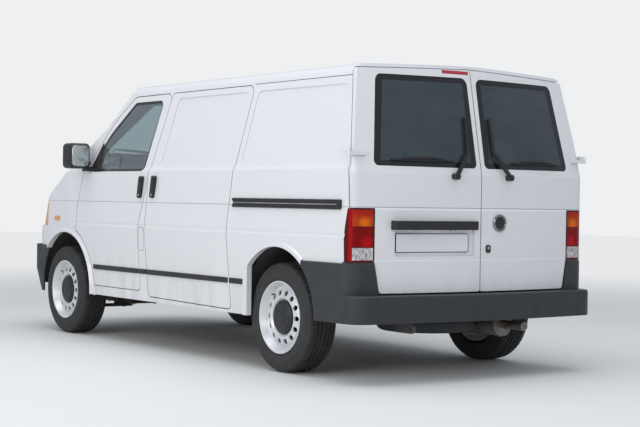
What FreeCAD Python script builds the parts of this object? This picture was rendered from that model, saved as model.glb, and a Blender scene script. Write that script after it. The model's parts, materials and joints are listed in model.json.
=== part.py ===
import FreeCAD, Part
import math
import os

Vector = FreeCAD.Vector
doc = FreeCAD.newDocument("PanelVan")
sheet = doc.addObject("Spreadsheet::Sheet", "Dimensions")
rows = [0]


def size(alias, value):
    """One driving dimension, in millimetres or degrees."""
    rows[0] += 1
    sheet.set("A%d" % rows[0], alias)
    sheet.set("B%d" % rows[0], repr(value))
    sheet.setAlias("B%d" % rows[0], alias)
    return float(value)


# Axles and wheels. Lengths that start with "x" are measured forward from the rear axle.
rear_axle_x = size("rear_axle_x", -1425)
wheelbase = size("wheelbase", 2920)
# The wheelbase that the lengths below are laid out for, and where a change of it is taken up.
layout_wheelbase = 2920
stretch_line = 1000
axle_height = size("axle_height", 332)
tyre_radius = size("tyre_radius", 332)
tyre_width = size("tyre_width", 215)
rim_radius = size("rim_radius", 220)
body_half = size("body_half", 920)
rear_track_in = size("rear_track_in", 145)
front_track_in = size("front_track_in", 130)
kingpin_low_in = size("kingpin_low_in", 85)
kingpin_lean = size("kingpin_lean", 127)
rear_track_half = body_half - rear_track_in
front_track_half = body_half - front_track_in
kingpin_low_y = front_track_half - kingpin_low_in
kingpin_low_z = size("kingpin_low_z", 210)
kingpin_top_y = kingpin_low_y - kingpin_lean
kingpin_top_z = size("kingpin_top_z", 1000)
hub_cap_radius = size("hub_cap_radius", 108)
rim_hole_circle = size("rim_hole_circle", 147)
rim_hole_radius = size("rim_hole_radius", 16)
rim_hole_count = size("rim_hole_count", 14)

# Body section: half widths and heights.
sill_bottom_z = size("sill_bottom_z", 325)
sill_in = size("sill_in", 24)
lower_in = size("lower_in", 12)
sill_half = body_half - sill_in
lower_half = body_half - lower_in
lower_z = size("lower_z", 430)
crease_half = body_half
crease_z = size("crease_z", 838)
belt_in = size("belt_in", 15)
belt_half = body_half - belt_in
belt_z = size("belt_z", 1222)
shoulder_in = size("shoulder_in", 31)
shoulder_half = body_half - shoulder_in
shoulder_z = size("shoulder_z", 1250)
roof_corner_in = size("roof_corner_in", 128)
roof_corner_half = body_half - roof_corner_in
roof_corner_z = size("roof_corner_z", 1825)
roof_z = size("roof_z", 1853)
roof_corner_radius = size("roof_corner_radius", 62)
gutter_z = size("gutter_z", 1757)

# Body plan and slopes.
rear_x = size("rear_x", -817)
rear_corner_x = size("rear_corner_x", -744)
rear_corner_out = size("rear_corner_out", 6)
rear_corner_y = body_half + rear_corner_out
rear_corner_radius = size("rear_corner_radius", 85)
rear_lean_z = size("rear_lean_z", 1200)
rear_lean = size("rear_lean", 0.2)
nose_x = size("nose_x", 3745)
nose_setback = size("nose_setback", 137)
nose_lean = size("nose_lean", 0.33)
nose_lean_z = size("nose_lean_z", 824)
panel_setback = size("panel_setback", 97)
bonnet_slope = size("bonnet_slope", 0.545)
bonnet_ref_x = size("bonnet_ref_x", 2890)
bonnet_side_z = size("bonnet_side_z", 1243)
bonnet_crown_z = size("bonnet_crown_z", 1355)
screen_slope = size("screen_slope", 0.63)
screen_ref_z = size("screen_ref_z", 1354)
screen_centre_x = size("screen_centre_x", 2915)
screen_corner_x = size("screen_corner_x", 2765)
screen_corner_in = size("screen_corner_in", 108)
screen_corner_y = body_half - screen_corner_in
screen_corner_radius = size("screen_corner_radius", 140)

# Walls and gaps.
wall = size("wall", 40)
outer_skin = size("outer_skin", 12)
seam = size("seam", 6)
rebate = size("rebate", 12)
rebate_gap = size("rebate_gap", 9)
seat_gap = size("seat_gap", 0.3)
glass = size("glass", 5)

# Doors and openings, side view.
door_bottom_z = size("door_bottom_z", 395)
arch_front_x = size("arch_front_x", 2862)
arch_front_radius = size("arch_front_radius", 432)
arch_rear_x = size("arch_rear_x", -20)
arch_rear_radius = size("arch_rear_radius", 427)
arch_lip = size("arch_lip", 55)
rear_split_z = size("rear_split_z", 1001)
rear_door_bottom_z = size("rear_door_bottom_z", 517)
rear_door_low_half = size("rear_door_low_half", 715)
rear_door_mid_half = size("rear_door_mid_half", 748)
lamp_bottom_z = size("lamp_bottom_z", 695)
bumper_top_z = size("bumper_top_z", 507)
bumper_bottom_z = size("bumper_bottom_z", 350)
bumper_rear_x = size("bumper_rear_x", -895)
front_bumper_top_z = size("front_bumper_top_z", 660)
front_bumper_bottom_z = size("front_bumper_bottom_z", 300)
floor_z = size("floor_z", 560)
cab_floor_z = size("cab_floor_z", 425)
sheet_steel = size("sheet_steel", 12)

# Hinge lines.
rear_hinge_x = size("rear_hinge_x", -745)
hinge_out = size("hinge_out", 2)
rear_hinge_y = body_half + hinge_out
crease_depth = size("crease_depth", 7)
groove_depth = size("groove_depth", 1.5)
groove_low_z = size("groove_low_z", 700)
bumper_out = size("bumper_out", 16)
bumper_half = body_half + bumper_out
block_proud = size("block_proud", 9)
bumper_ledge_x = size("bumper_ledge_x", -835)
bumper_seam_y = size("bumper_seam_y", 779)
proud = size("proud", 6)
lip_proud = size("lip_proud", 12)
plate_recess_low_z = size("plate_recess_low_z", 727)
handle_bar_low_z = size("handle_bar_low_z", 879)
handle_bar_top_z = size("handle_bar_top_z", 930)
marker_x = size("marker_x", 3041)
marker_z = size("marker_z", 872)
bumper_tuck = size("bumper_tuck", 0.52)
bumper_tuck_z = size("bumper_tuck_z", 440)

doc.recompute()


def at(x):
    """Place ahead of the rear axle, in the frame of the part. Places are laid out for one wheelbase;
    with another, all that lies ahead of the stretch line moves with the front axle."""
    return rear_axle_x + x + (wheelbase - layout_wheelbase if x > stretch_line else 0)


def rounded_wire(points, plane):
    """Closed polygon whose corners carry arcs: each point is (a, b, radius)."""
    def place(p):
        if plane == "xz":
            return Vector(p.x, 0, p.y)
        if plane == "yz":
            return Vector(0, p.x, p.y)
        return Vector(p.x, p.y, 0)
    count = len(points)
    corners = []
    for i in range(count):
        a, b, radius = points[i]
        here = Vector(a, b, 0)
        back = (Vector(points[i - 1][0], points[i - 1][1], 0) - here).normalize()
        ahead = points[(i + 1) % count]
        front = (Vector(ahead[0], ahead[1], 0) - here).normalize()
        if radius <= 0:
            corners.append((here, here, None))
            continue
        half = math.acos(max(-1.0, min(1.0, back.dot(front)))) / 2
        run = radius / math.tan(half)
        middle = (back + front).normalize()
        centre = here + middle * (radius / math.sin(half))
        corners.append((here + back * run, here + front * run, centre - middle * radius))
    edges = []
    for i in range(count):
        start, end, mid = corners[i]
        following = corners[(i + 1) % count][0]
        if mid is not None:
            edges.append(Part.Arc(place(start), place(mid), place(end)).toShape())
        if (following - end).Length > 1e-6:
            edges.append(Part.LineSegment(place(end), place(following)).toShape())
    return Part.Wire(edges)


def prism(points, plane, start, run, shrink=0.0):
    """Solid from a rounded polygon, shifted by start and extruded along run."""
    face = Part.Face(rounded_wire(points, plane))
    if shrink:
        face = face.makeOffset2D(-shrink)
    face.translate(start)
    return face.extrude(run)


def both_halves(points, centre):
    """Cross-section points of the left half, one on the centre line, then the right half."""
    return points + [centre] + [(-a, b, r) for a, b, r in reversed(points)]


def both_plan_halves(points, centre):
    """Plan points of the left half, one on the centre line, then the right half."""
    return points + [centre] + [(a, -b, r) for a, b, r in reversed(points)]


def box(x0, x1, y0, y1, z0, z1):
    return Part.makeBox(x1 - x0, y1 - y0, z1 - z0, Vector(x0, y0, z0))


def tip(end, corner, half, radius):
    """Where two straight lines must meet for their rounded tip to end at the wanted place."""
    meet = end
    for step in range(8):
        meet = end + (end - corner) / abs(end - corner) * radius * (math.hypot(1, (meet - corner) / half) - 1)
    return meet


def nose_points(origin, squeeze):
    """Plan of the nose: its tip lies at origin, and lengths along the vehicle are squeezed."""
    corner = -172.0 * squeeze
    half = [(origin - 5000, 1500, 0), (origin - 1395 * squeeze, 1500, 0), (origin - 1345 * squeeze, 952, 0),
            (origin + corner, 878, 250)]
    return both_plan_halves(half, (origin + tip(0, corner, 878, 2000), 0, 2000))


def nose_plan(shift):
    return nose_points(at(nose_x) - shift, 1.0)


def rear_points(origin, squeeze):
    """Plan of the rear face, laid out in the same way."""
    corner = (rear_corner_x - rear_x) * squeeze
    half = [(origin + 5000, 1500, 0), (origin + corner + 400, 1500, 0), (origin + corner + 395, 930, 0),
            (origin + corner, rear_corner_y, rear_corner_radius)]
    return both_plan_halves(half, (origin + tip(0, corner, rear_corner_y, 5500), 0, 5500))


def tilted(shape, angle, x, z):
    """Shape laid out about the origin, turned about the cross axis and moved to its place."""
    shape.rotate(Vector(0, 0, 0), Vector(0, 1, 0), angle)
    shape.translate(Vector(x, 0, z))
    return shape


def master(inset):
    """The outside form of the body, or the same form moved inward by inset."""
    half = [(sill_half, 250, 0), (lower_half, lower_z, 600), (crease_half, crease_z - 8, 12),
            (crease_half - crease_depth, crease_z + 6, 6), (crease_half - 2, crease_z + 22, 12),
            (belt_half, belt_z, 20), (shoulder_half, shoulder_z, 20),
            (roof_corner_half, roof_corner_z, roof_corner_radius)]
    section = both_halves(half, (0, roof_z, 6000))
    sides = prism(section, "yz", Vector(at(-1200), 0, 0), Vector(at(4100) - at(-1200), 0, 0), inset)
    back = prism(rear_points(at(rear_x), 1), "xy", Vector(0, 0, 200), Vector(0, 0, 1800), inset)
    angle = math.degrees(math.atan(rear_lean))
    lean = prism(rear_points(0, math.cos(math.atan(rear_lean))), "xy", Vector(0, 0, -2600), Vector(0, 0, 6000), inset)
    lean = tilted(lean, angle, at(rear_x), rear_lean_z)
    body = sides.common(back).common(lean)
    slope = math.atan(screen_slope)
    fall = math.sin(slope)
    half = [(-2600, 1400, 0), (-402, 1400, 0), ((2210 - screen_centre_x) * fall, 905, 0),
            ((screen_corner_x - screen_centre_x) * fall, screen_corner_y, screen_corner_radius)]
    meet = tip(0, (screen_corner_x - screen_centre_x) * fall, screen_corner_y, 3000)
    screen = prism(both_plan_halves(half, (meet, 0, 3000)), "xy", Vector(0, 0, -420), Vector(0, 0, 2000), inset)
    screen = tilted(screen, math.degrees(slope) - 90, at(screen_centre_x), screen_ref_z)
    slope = math.atan(bonnet_slope)
    half = [(1400, -1700, 0), (1400, -220, 0), (1000, (bonnet_side_z - 60 - bonnet_crown_z) * math.cos(slope), 0),
            (850, (bonnet_side_z - bonnet_crown_z) * math.cos(slope), 160)]
    crown = both_halves(half, (0, tip(0, (bonnet_side_z - bonnet_crown_z) * math.cos(slope), 850, 3500), 3500))
    bonnet = prism(crown, "yz", Vector(-1100, 0, 0), Vector(2400, 0, 0), inset)
    bonnet = tilted(bonnet, math.degrees(slope), at(bonnet_ref_x), bonnet_crown_z)
    rear_zone = prism([(at(-2500), 2100, 0), (at(1850), 2100, 0), (at(2210), 1300, 0), (at(2500), 1000, 0),
                       (at(2500), 100, 0), (at(-2500), 100, 0)], "xz", Vector(0, -1400, 0), Vector(0, 2800, 0))
    nose_angle = math.atan(nose_lean)
    nose = prism(nose_points(0, math.cos(nose_angle)), "xy", Vector(0, 0, -2600), Vector(0, 0, 8000), inset)
    nose = tilted(nose, -math.degrees(nose_angle), at(nose_x - nose_setback), nose_lean_z)
    front = screen.fuse(bonnet.common(box(at(2210), at(4200), -1500, 1500, 0, 1700)))
    return body.common(nose).common(front.fuse(rear_zone))


def side_prism(points, y0=300, y1=1100):
    """Region cut by an outline in the side view, between two distances from the middle."""
    moved = [(at(a), b, r) for a, b, r in points]
    return prism(moved, "xz", Vector(0, y0, 0), Vector(0, y1 - y0, 0))


def rear_prism(points, x0, x1):
    """Region cut by an outline in the rear view, between two distances from the rear axle."""
    return prism(points, "yz", Vector(at(x0), 0, 0), Vector(at(x1) - at(x0), 0, 0))


def other_side(shape):
    return shape.mirror(Vector(0, 0, 0), Vector(0, 1, 0))


def grown(face_points, amount):
    """The same side-view outline moved outward by amount."""
    face = Part.Face(rounded_wire([(at(a), b, r) for a, b, r in face_points], "xz"))
    return face.makeOffset2D(amount)


def grown_prism(face_points, amount, y0=300, y1=1100):
    face = grown(face_points, amount)
    face.translate(Vector(0, y0, 0))
    return face.extrude(Vector(0, y1 - y0, 0))


def across(radius, x, z, y0, y1):
    """Cylinder across the vehicle."""
    return Part.makeCylinder(radius, y1 - y0, Vector(at(x), y0, z), Vector(0, 1, 0))


def upright(radius, x, y, z0, z1):
    return Part.makeCylinder(radius, z1 - z0, Vector(at(x), y, z0))


def block(x0, x1, y0, y1, z0, z1):
    return box(at(x0), at(x1), y0, y1, z0, z1)


def only_solids(shape, least=1000.0):
    """The solids of a boolean result, without slivers."""
    kept = [solid for solid in shape.Solids if solid.Volume > least]
    return kept[0] if len(kept) == 1 else Part.makeCompound(kept)


nodes = []


def node(name, shape):
    item = doc.addObject("Part::Feature", name)
    item.Shape = shape
    item.Label = name
    nodes.append(item)
    return item


body_outer = master(0.0)
body_glass = master(glass)
body_skin = master(outer_skin)
body_inner = master(wall)
shell = body_outer.cut(body_inner)
skin = body_outer.cut(body_skin)
liner = body_skin.cut(body_inner)
pane = body_outer.cut(body_glass)
leaf_band = body_outer.cut(master(outer_skin + seat_gap))

# Outlines in the side view.
cab_door_outline = [
    (1446, 1752, 50), (1975, 1749, 90), (2247, 1572, 500), (2582, 1237, 60), (2672, 987, 200),
    (2690, 800, 20), (2690, 700, 0), (2600, door_bottom_z, 0), (1690, door_bottom_z, 35), (1731, 836, 200),
    (1664, 1000, 300), (1595, 1235, 1200)]
slide_door_outline = [
    (414, 1752, 50), (1440, 1752, 45), (1602, 1190, 30), (1604, 998, 200), (1625, 832, 250), (1570, 362, 30),
    (506, 348, 30), (524, 546, 300), (557, 836, 300), (502, 1241, 900)]
cab_window_outline = [
    (1552, 1712, 40), (1960, 1712, 60), (2290, 1483, 600), (2512, 1222, 40), (1684, 1222, 40)]
quarter_panel_outline = [(361, 1714, 45), (-590, 1711, 45), (-600, 1253, 45), (440, 1247, 45)]
slide_panel_outline = [(454, 1714, 45), (1351, 1714, 45), (1466, 1241, 45), (569, 1244, 45)]
wing_arch = across(arch_front_radius + arch_lip, arch_front_x + 18, axle_height + 4, 300, 1200)
wing_seam = across(arch_front_radius + arch_lip + seam, arch_front_x + 18, axle_height + 4, 300, 1200)


def door_pieces(outline, cutter):
    """Skin over the whole outline and an inner box set back behind the rebate."""
    full = side_prism(outline)
    box_region = grown_prism(outline, -(rebate + rebate_gap))
    if cutter is not None:
        full = full.cut(cutter[0])
        box_region = box_region.cut(cutter[1])
    leaf = skin.common(full)
    inner = liner.common(box_region)
    return leaf.fuse(inner)


door_arch_inner = across(arch_front_radius + arch_lip + seam + rebate + rebate_gap, arch_front_x + 18,
                         axle_height + 4, 300, 1200)
cab_door = door_pieces(cab_door_outline, (wing_seam, door_arch_inner))
window_hole = grown_prism(cab_window_outline, -6)
cab_door = cab_door.cut(window_hole)
slide_door = door_pieces(slide_door_outline, None)
slide_recess = pane.common(side_prism(slide_panel_outline))
slide_door = slide_door.cut(slide_recess)
cab_glass = pane.common(side_prism(cab_window_outline))
cab_door = cab_door.cut(cab_glass)

# Rear doors.
seam_rear = [(-1000, rear_split_z, 0), (-733, rear_split_z, 0), (-727, 1215, 900), (-612, 1762, 0), (-560, 2000, 0),
             (-1000, 2000, 0)]


def rear_region(gap, split):
    """Left rear door region, moved inward by gap; split is the distance of its edge from the middle."""
    low = [(split, rear_door_bottom_z + gap, 12), (rear_door_low_half - gap, rear_door_bottom_z + gap, 20),
           (rear_door_mid_half - gap, lamp_bottom_z, 60), (rear_door_mid_half - gap, rear_split_z + 30, 0),
           (split, rear_split_z + 30, 0)]
    low = rear_prism(low, -1000, -690)
    high = [(split, rear_split_z + gap, 0), (1000, rear_split_z + gap, 0), (1000, 1757 - gap, 0),
            (795 - gap, 1800 - gap, 60), (split, 1828 - gap, 0)]
    high = rear_prism(high, -1000, -500)
    edge = [(at(a) - gap, b, r) for a, b, r in seam_rear]
    edge = prism([(edge[0][0], edge[0][1] - 50, 0), (edge[1][0], edge[1][1] - 50, 0)] + edge[2:], "xz",
                 Vector(0, -50, 0), Vector(0, 1200, 0))
    return low.fuse(high.common(edge))


rear_leaf = skin.common(rear_region(0, seam / 2))
rear_box = liner.common(rear_region(rebate + rebate_gap, seam / 2))
rear_door = rear_leaf.fuse(rear_box)
rear_window = [(31, 1240, 30), (757, 1242, 30), (683, 1772, 45), (35, 1777, 45)]
rear_clear = [(85, 1278, 40), (698, 1278, 40), (630, 1738, 40), (85, 1740, 40)]
rear_glass = pane.common(rear_prism(rear_window, -1000, -600))
rear_door = rear_door.cut(rear_prism(rear_clear, -1000, -500))
rear_door = rear_door.cut(rear_glass)

# Wheel arches.
front_hole = across(arch_front_radius, arch_front_x, axle_height + 6, 300, 1200)
front_hole = front_hole.fuse(block(arch_front_x - arch_front_radius, arch_front_x + arch_front_radius, 300, 1200, 0,
                                   axle_height + 6))
rear_hole = across(arch_rear_radius, arch_rear_x, axle_height, 300, 1200)
rear_hole = rear_hole.fuse(block(arch_rear_x - arch_rear_radius, 286, 300, 1200, 0, axle_height))
rear_hole = rear_hole.cut(block(286, 700, 300, 1200, 0, 700))

# Body sides.
cab_hole_skin = grown_prism(cab_door_outline, seam).cut(wing_arch)
cab_hole_box = grown_prism(cab_door_outline, -rebate).cut(
    across(arch_front_radius + arch_lip + rebate + seam, arch_front_x + 18, axle_height + 4, 300, 1200))
slide_hole_skin = grown_prism(slide_door_outline, seam)
slide_hole_box = grown_prism(slide_door_outline, -rebate)
rear_hole_skin = rear_region(-seam, -50)
rear_hole_box = rear_region(rebate, -50)
lamp_region = rear_prism([(rear_door_mid_half + 4, lamp_bottom_z, 12), (1000, lamp_bottom_z, 0),
                          (1000, rear_split_z - 3, 0), (rear_door_mid_half + 4, rear_split_z - 3, 12)], -1000, -690)
lamp_region = lamp_region.common(side_prism(
    [(-1000, 600, 0), (-703, 600, 0), (-703, 850, 300), (-722, rear_split_z, 0), (-724, 1100, 0), (-1000, 1100, 0)]))
front_cut = side_prism([(2702, 200, 0), (2702, 815, 30), (2684, 990, 200), (2600, 1222, 0), (2600, 1262, 0),
                        (4000, 1262, 0), (4000, 200, 0)], -1200, 1200)
front_cut = front_cut.fuse(wing_arch.common(block(2350, 2900, 300, 1200, sill_bottom_z - 5, 2000)))
front_both = front_cut.fuse(other_side(front_cut))
front_post = side_prism([(1975, 1800, 0), (1975, 1740, 0), (2247, 1572, 500), (2570, 1262, 0), (4000, 1262, 0),
                         (4000, 1800, 0)], -1200, 1200)
side_zone = block(-1000, 4000, 700, 1200, sill_bottom_z, gutter_z).cut(front_post)
whole_side = shell.common(side_zone).cut(leaf_band.common(cab_hole_skin)).cut(cab_hole_box)
whole_side = whole_side.cut(leaf_band.common(rear_hole_skin)).cut(rear_hole_box)


def finish_side(shape):
    shape = shape.cut(front_cut).cut(front_hole).cut(rear_hole)
    shape = shape.cut(block(-1000, -299, 300, 1200, 0, 688)).cut(block(286, 420, 300, 889, 0, 760))
    return shape.cut(lamp_region)


side_left = finish_side(whole_side.cut(leaf_band.common(slide_hole_skin)).cut(slide_hole_box))
side_right = finish_side(whole_side)
flap_outline = [(1640, 676, 12), (1702, 676, 12), (1702, 830, 12), (1640, 830, 12)]
fuel_flap = pane.common(side_prism(flap_outline))
fuel_flap.translate(Vector(0, seat_gap, 0))
side_left = side_left.cut(pane.common(grown_prism(flap_outline, seam - 1)))
side_left = side_left.cut(grown_prism(flap_outline, -8, 885, 1100))
recess = pane.common(side_prism(quarter_panel_outline))
side_left = side_left.cut(recess)
side_right = side_right.cut(recess).cut(slide_recess)

# Nose: bonnet, wings, panel, lamps and bumper.
body_proud = master(-proud)
front_zone = block(2300, 4000, -1200, 1200, front_bumper_top_z, 1500)
def behind_bonnet_line(shift):
    half = [(at(1000), 1400, 0), (at(screen_corner_x) + 55 - shift, 1400, 0),
            (at(screen_corner_x) + 60 - shift, 800, 100)]
    line = both_plan_halves(half, (at(screen_centre_x) + 150 - shift, 0, 1500))
    return prism(line, "xy", Vector(0, 0, 300), Vector(0, 0, 1500))


behind_bonnet = behind_bonnet_line(0)
cowl_zone = behind_bonnet.common(block(2650, 3300, -696, 696, 1050, 1262))
bonnet_half = [(at(2700), 640, 0), (at(2860), 690, 60), (at(3300), 640, 200), (at(3590), 480, 80)]
bonnet_plan = both_plan_halves(bonnet_half, (at(3660), 0, 900))
bonnet_region = prism(bonnet_plan, "xy", Vector(0, 0, 922), Vector(0, 0, 900)).cut(behind_bonnet_line(-seam))
wide_plan = Part.Face(rounded_wire(bonnet_plan, "xy")).makeOffset2D(seam)
wide_plan.translate(Vector(0, 0, 916))
bonnet_gap = wide_plan.extrude(Vector(0, 0, 900))
bonnet = skin.common(bonnet_region)
collar_plan = Part.Face(rounded_wire(bonnet_plan, "xy")).makeOffset2D(seam + 8)
ledge_plan = Part.Face(rounded_wire(bonnet_plan, "xy")).makeOffset2D(-rebate)
gutter_room = block(2880, 3480, 420, 900, 900, 1400)
gutter_room = gutter_room.fuse(other_side(gutter_room)).cut(behind_bonnet_line(-seam - 2))
collar_ring = collar_plan.extrude(Vector(0, 0, 1500)).common(gutter_room)
bonnet_collar = shell.common(collar_ring).cut(bonnet_gap)
ledge_ring = collar_ring.cut(ledge_plan.extrude(Vector(0, 0, 1500)))
bonnet_ledge = shell.cut(leaf_band).common(ledge_ring)
bonnet_seat = bonnet_collar.fuse(bonnet_ledge)
nose_zone = block(2690, 4000, -1200, 1200, front_bumper_top_z, 1500)
lamp_half = [(430, 812, 40), (470, 960, 60), (1200, 1010, 0), (1200, 812, 0)]
lamp_shape = rear_prism(lamp_half, 3232, 4000)
grille_shape = rear_prism(both_halves([(424, 815, 20), (424, 905, 30)], (0, 915, 900)), 3232, 4000)
wing_region = front_both.common(block(2350, 4000, -1200, 1200, 300, 1262)).cut(cowl_zone)
wing_region = wing_region.fuse(block(2700, 3100, -1200, 1200, 1262, 1330).cut(behind_bonnet))
wing_region = wing_region.cut(block(2600, 2860, -600, 600, 300, 1262))
wings = skin.common(wing_region).cut(bonnet_gap).cut(front_hole).cut(other_side(front_hole))
wings = wings.cut(block(3172, 4000, -1200, 1200, 0, front_bumper_top_z))
wings = wings.cut(block(3240, 4000, -1200, 1200, 0, 810))
wings = wings.cut(lamp_shape).cut(other_side(lamp_shape)).cut(grille_shape)
lip = Part.makeCone(arch_front_radius + arch_lip, arch_front_radius + arch_lip - 3 * lip_proud, 3 * lip_proud,
                    Vector(at(arch_front_x) + 18, crease_half - 2 * lip_proud, axle_height + 4), Vector(0, 1, 0))
lip = lip.cut(front_hole).common(block(2350, 3172, 860, crease_half + 8, sill_bottom_z, 900)).cut(body_outer)
wings = wings.fuse([lip, other_side(lip)])
rear_lip = Part.makeCone(arch_rear_radius + arch_lip, arch_rear_radius + arch_lip - 3 * lip_proud, 3 * lip_proud,
                         Vector(at(arch_rear_x), crease_half - 2 * lip_proud, axle_height), Vector(0, 1, 0))
lip_foot = prism([(at(286), crease_half - 20, 0), (at(334), crease_half - 20, 0), (at(334), lower_half - 2, 0),
                  (at(314), crease_half + 8, 0), (at(286), crease_half + 8, 0)], "xy", Vector(0, 0, sill_bottom_z),
                 Vector(0, 0, 210))
rear_lip = rear_lip.cut(rear_hole).common(block(-296, 334, 860, crease_half + 8, sill_bottom_z, 900))
rear_lip = rear_lip.fuse(lip_foot).cut(body_outer)
side_left = side_left.fuse(rear_lip)
side_right = side_right.fuse(rear_lip)
marker = body_proud.cut(body_outer).common(side_prism(
    [(marker_x - 47, marker_z - 17, 6), (marker_x + 47, marker_z - 17, 6), (marker_x + 47, marker_z + 17, 6),
     (marker_x - 47, marker_z + 17, 6)]))
bonnet_seat = bonnet_seat.cut([lamp_shape, other_side(lamp_shape), grille_shape])
wings = wings.fuse(bonnet_seat)
lamp = body_outer.cut(body_inner).common(lamp_shape).cut(bonnet_gap)
lamp = lamp.cut(block(3000, 4000, -1200, 1200, 1100, 1500))
grille = shell.common(grille_shape)
slots = []
for slot_z in (834, 858, 882):
    slots.append(rear_prism(both_halves([(404, slot_z - 8, 7), (404, slot_z + 8, 7)], (0, slot_z + 12, 900)), 3232, 4000))
grille = grille.cut(skin.common(Part.makeCompound(slots)))
panel_outer = prism(nose_plan(panel_setback), "xy", Vector(0, 0, front_bumper_top_z), Vector(0, 0, 150))
panel_inner = prism(nose_plan(panel_setback + 22), "xy", Vector(0, 0, front_bumper_top_z), Vector(0, 0, 150))

# Screen surround, roof and windscreen.
above = block(-1000, 2800, -1200, 1200, gutter_z, 2000)
rear_skin_both = leaf_band.common(rear_hole_skin.fuse(other_side(rear_hole_skin)))
rear_box_both = rear_hole_box.fuse(other_side(rear_hole_box))
roof = shell.common(above).cut(rear_skin_both).cut(rear_box_both)
surround_zone = prism(both_halves([(1200, 1262, 0), (1200, gutter_z, 0), (700, 1790, 0)], (0, 1800, 0)), "yz",
                      Vector(at(1900), 0, 0), Vector(2000, 0, 0)).common(front_post).common(behind_bonnet)
surround = shell.common(surround_zone)
surround = surround.cut(cab_hole_skin.common(leaf_band)).cut(other_side(cab_hole_skin.common(leaf_band)))
surround = surround.cut(cab_hole_box).cut(other_side(cab_hole_box))
roof = roof.cut(surround_zone)
surround = surround.fuse(skin.common(cowl_zone))
screen_half = [(700, 1338, 60), (560, 1752, 60)]
screen_outline = rear_prism(both_halves(screen_half, (0, 1775, 3000)), 1900, 4000)
screen_hole = rear_prism(both_halves([(672, 1362, 40), (535, 1730, 40)], (0, 1750, 3000)), 1900, 4000)
windscreen = pane.common(screen_outline)
surround = surround.cut(windscreen).cut(screen_hole)

# Bumpers.
def bumper_solid(end_x, corner_x, half_width, low, high):
    """Plan of a bumper that wraps round the rear corners, between two heights."""
    half = [(at(-299), half_width, 0), (at(corner_x), half_width, 110)]
    plan = both_plan_halves(half, (at(tip(end_x, corner_x, half_width, 5000)), 0, 5000))
    return prism(plan, "xy", Vector(0, 0, low), Vector(0, 0, high - low))


corner_end_x = rear_x - block_proud
rear_bumper = bumper_solid(bumper_rear_x, bumper_ledge_x, bumper_half, bumper_bottom_z, bumper_top_z)
rear_bumper = rear_bumper.makeFillet(14, [e for e in rear_bumper.Edges if e.BoundBox.ZMin > bumper_top_z - 1
                                          and e.BoundBox.XMin < at(-300)])
corner_solid = bumper_solid(corner_end_x, rear_corner_x - 10, bumper_half - 2, bumper_bottom_z, 688)
corner_solid = corner_solid.makeFillet(8, [e for e in corner_solid.Edges if e.BoundBox.ZMin > 687
                                           and e.BoundBox.XMin < at(-300)])
corner_zone = block(-1000, -299, rear_door_low_half + 5, 1200, bumper_bottom_z, 688)
corner_zone = corner_zone.cut(rear_region(-seam, -50))
corner_block = corner_solid.common(corner_zone)
rear_bumper = rear_bumper.fuse([corner_block, other_side(corner_block)]).cut(body_inner)
seam_cut = block(-1000, -820, bumper_seam_y - 1.5, bumper_seam_y + 1.5, 0, bumper_top_z)
seam_cut = seam_cut.cut(bumper_solid(bumper_rear_x + 3, bumper_ledge_x, bumper_half, 0, bumper_top_z - 3))
rear_bumper = rear_bumper.cut([seam_cut, other_side(seam_cut)])
rear_bumper = rear_bumper.cut(rear_hole).cut(other_side(rear_hole))
front_outer = prism(nose_plan(0), "xy", Vector(0, 0, front_bumper_bottom_z),
                    Vector(0, 0, front_bumper_top_z - front_bumper_bottom_z))
tuck = prism(nose_points(0, math.cos(bumper_tuck)), "xy", Vector(0, 0, -2600), Vector(0, 0, 8000))
front_outer = front_outer.common(tilted(tuck, math.degrees(bumper_tuck), at(nose_x), bumper_tuck_z))
front_inner = prism(nose_plan(60), "xy", Vector(0, 0, 0), Vector(0, 0, 1000))
front_inner = front_inner.common(block(0, 4000, -860, 860, 0, 1000))
front_bumper = front_outer.cut(front_inner).common(block(3172, 4000, -915, 915, 0, 1000))
front_bumper = front_bumper.cut(front_hole).cut(other_side(front_hole))
steer_room = across(460, 2885, axle_height + 6, 455, 1200)
front_bumper = front_bumper.cut(steer_room.common(block(2300, 4000, 0, 880, 0, 1000)))
front_bumper = front_bumper.cut(other_side(steer_room.common(block(2300, 4000, 0, 880, 0, 1000))))
intake = rear_prism(both_halves([(430, 470, 16), (430, 560, 16)], (0, 566, 2000)), 3232, 4000)
intake_band = prism(nose_plan(0), "xy", Vector(0, 0, 400), Vector(0, 0, 260)).cut(
    prism(nose_plan(28), "xy", Vector(0, 0, 400), Vector(0, 0, 260)))
for bar_z in (490, 516, 542):
    intake = intake.cut(block(3232, 4000, -500, 500, bar_z - 4, bar_z + 4))
front_bumper = front_bumper.cut(intake_band.common(intake))
fog = rear_prism([(560, 420, 20), (790, 430, 20), (790, 520, 20), (560, 520, 20)], 3232, 4000)
fog_recess = intake_band.common(fog)
front_bumper = front_bumper.cut([fog_recess, other_side(fog_recess)])
nose_panel = panel_outer.cut(panel_inner).common(block(3240, 4000, -905, 905, 0, 1000))

# Tail lamps.
tail_lamp = shell.common(lamp_region)


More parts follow.
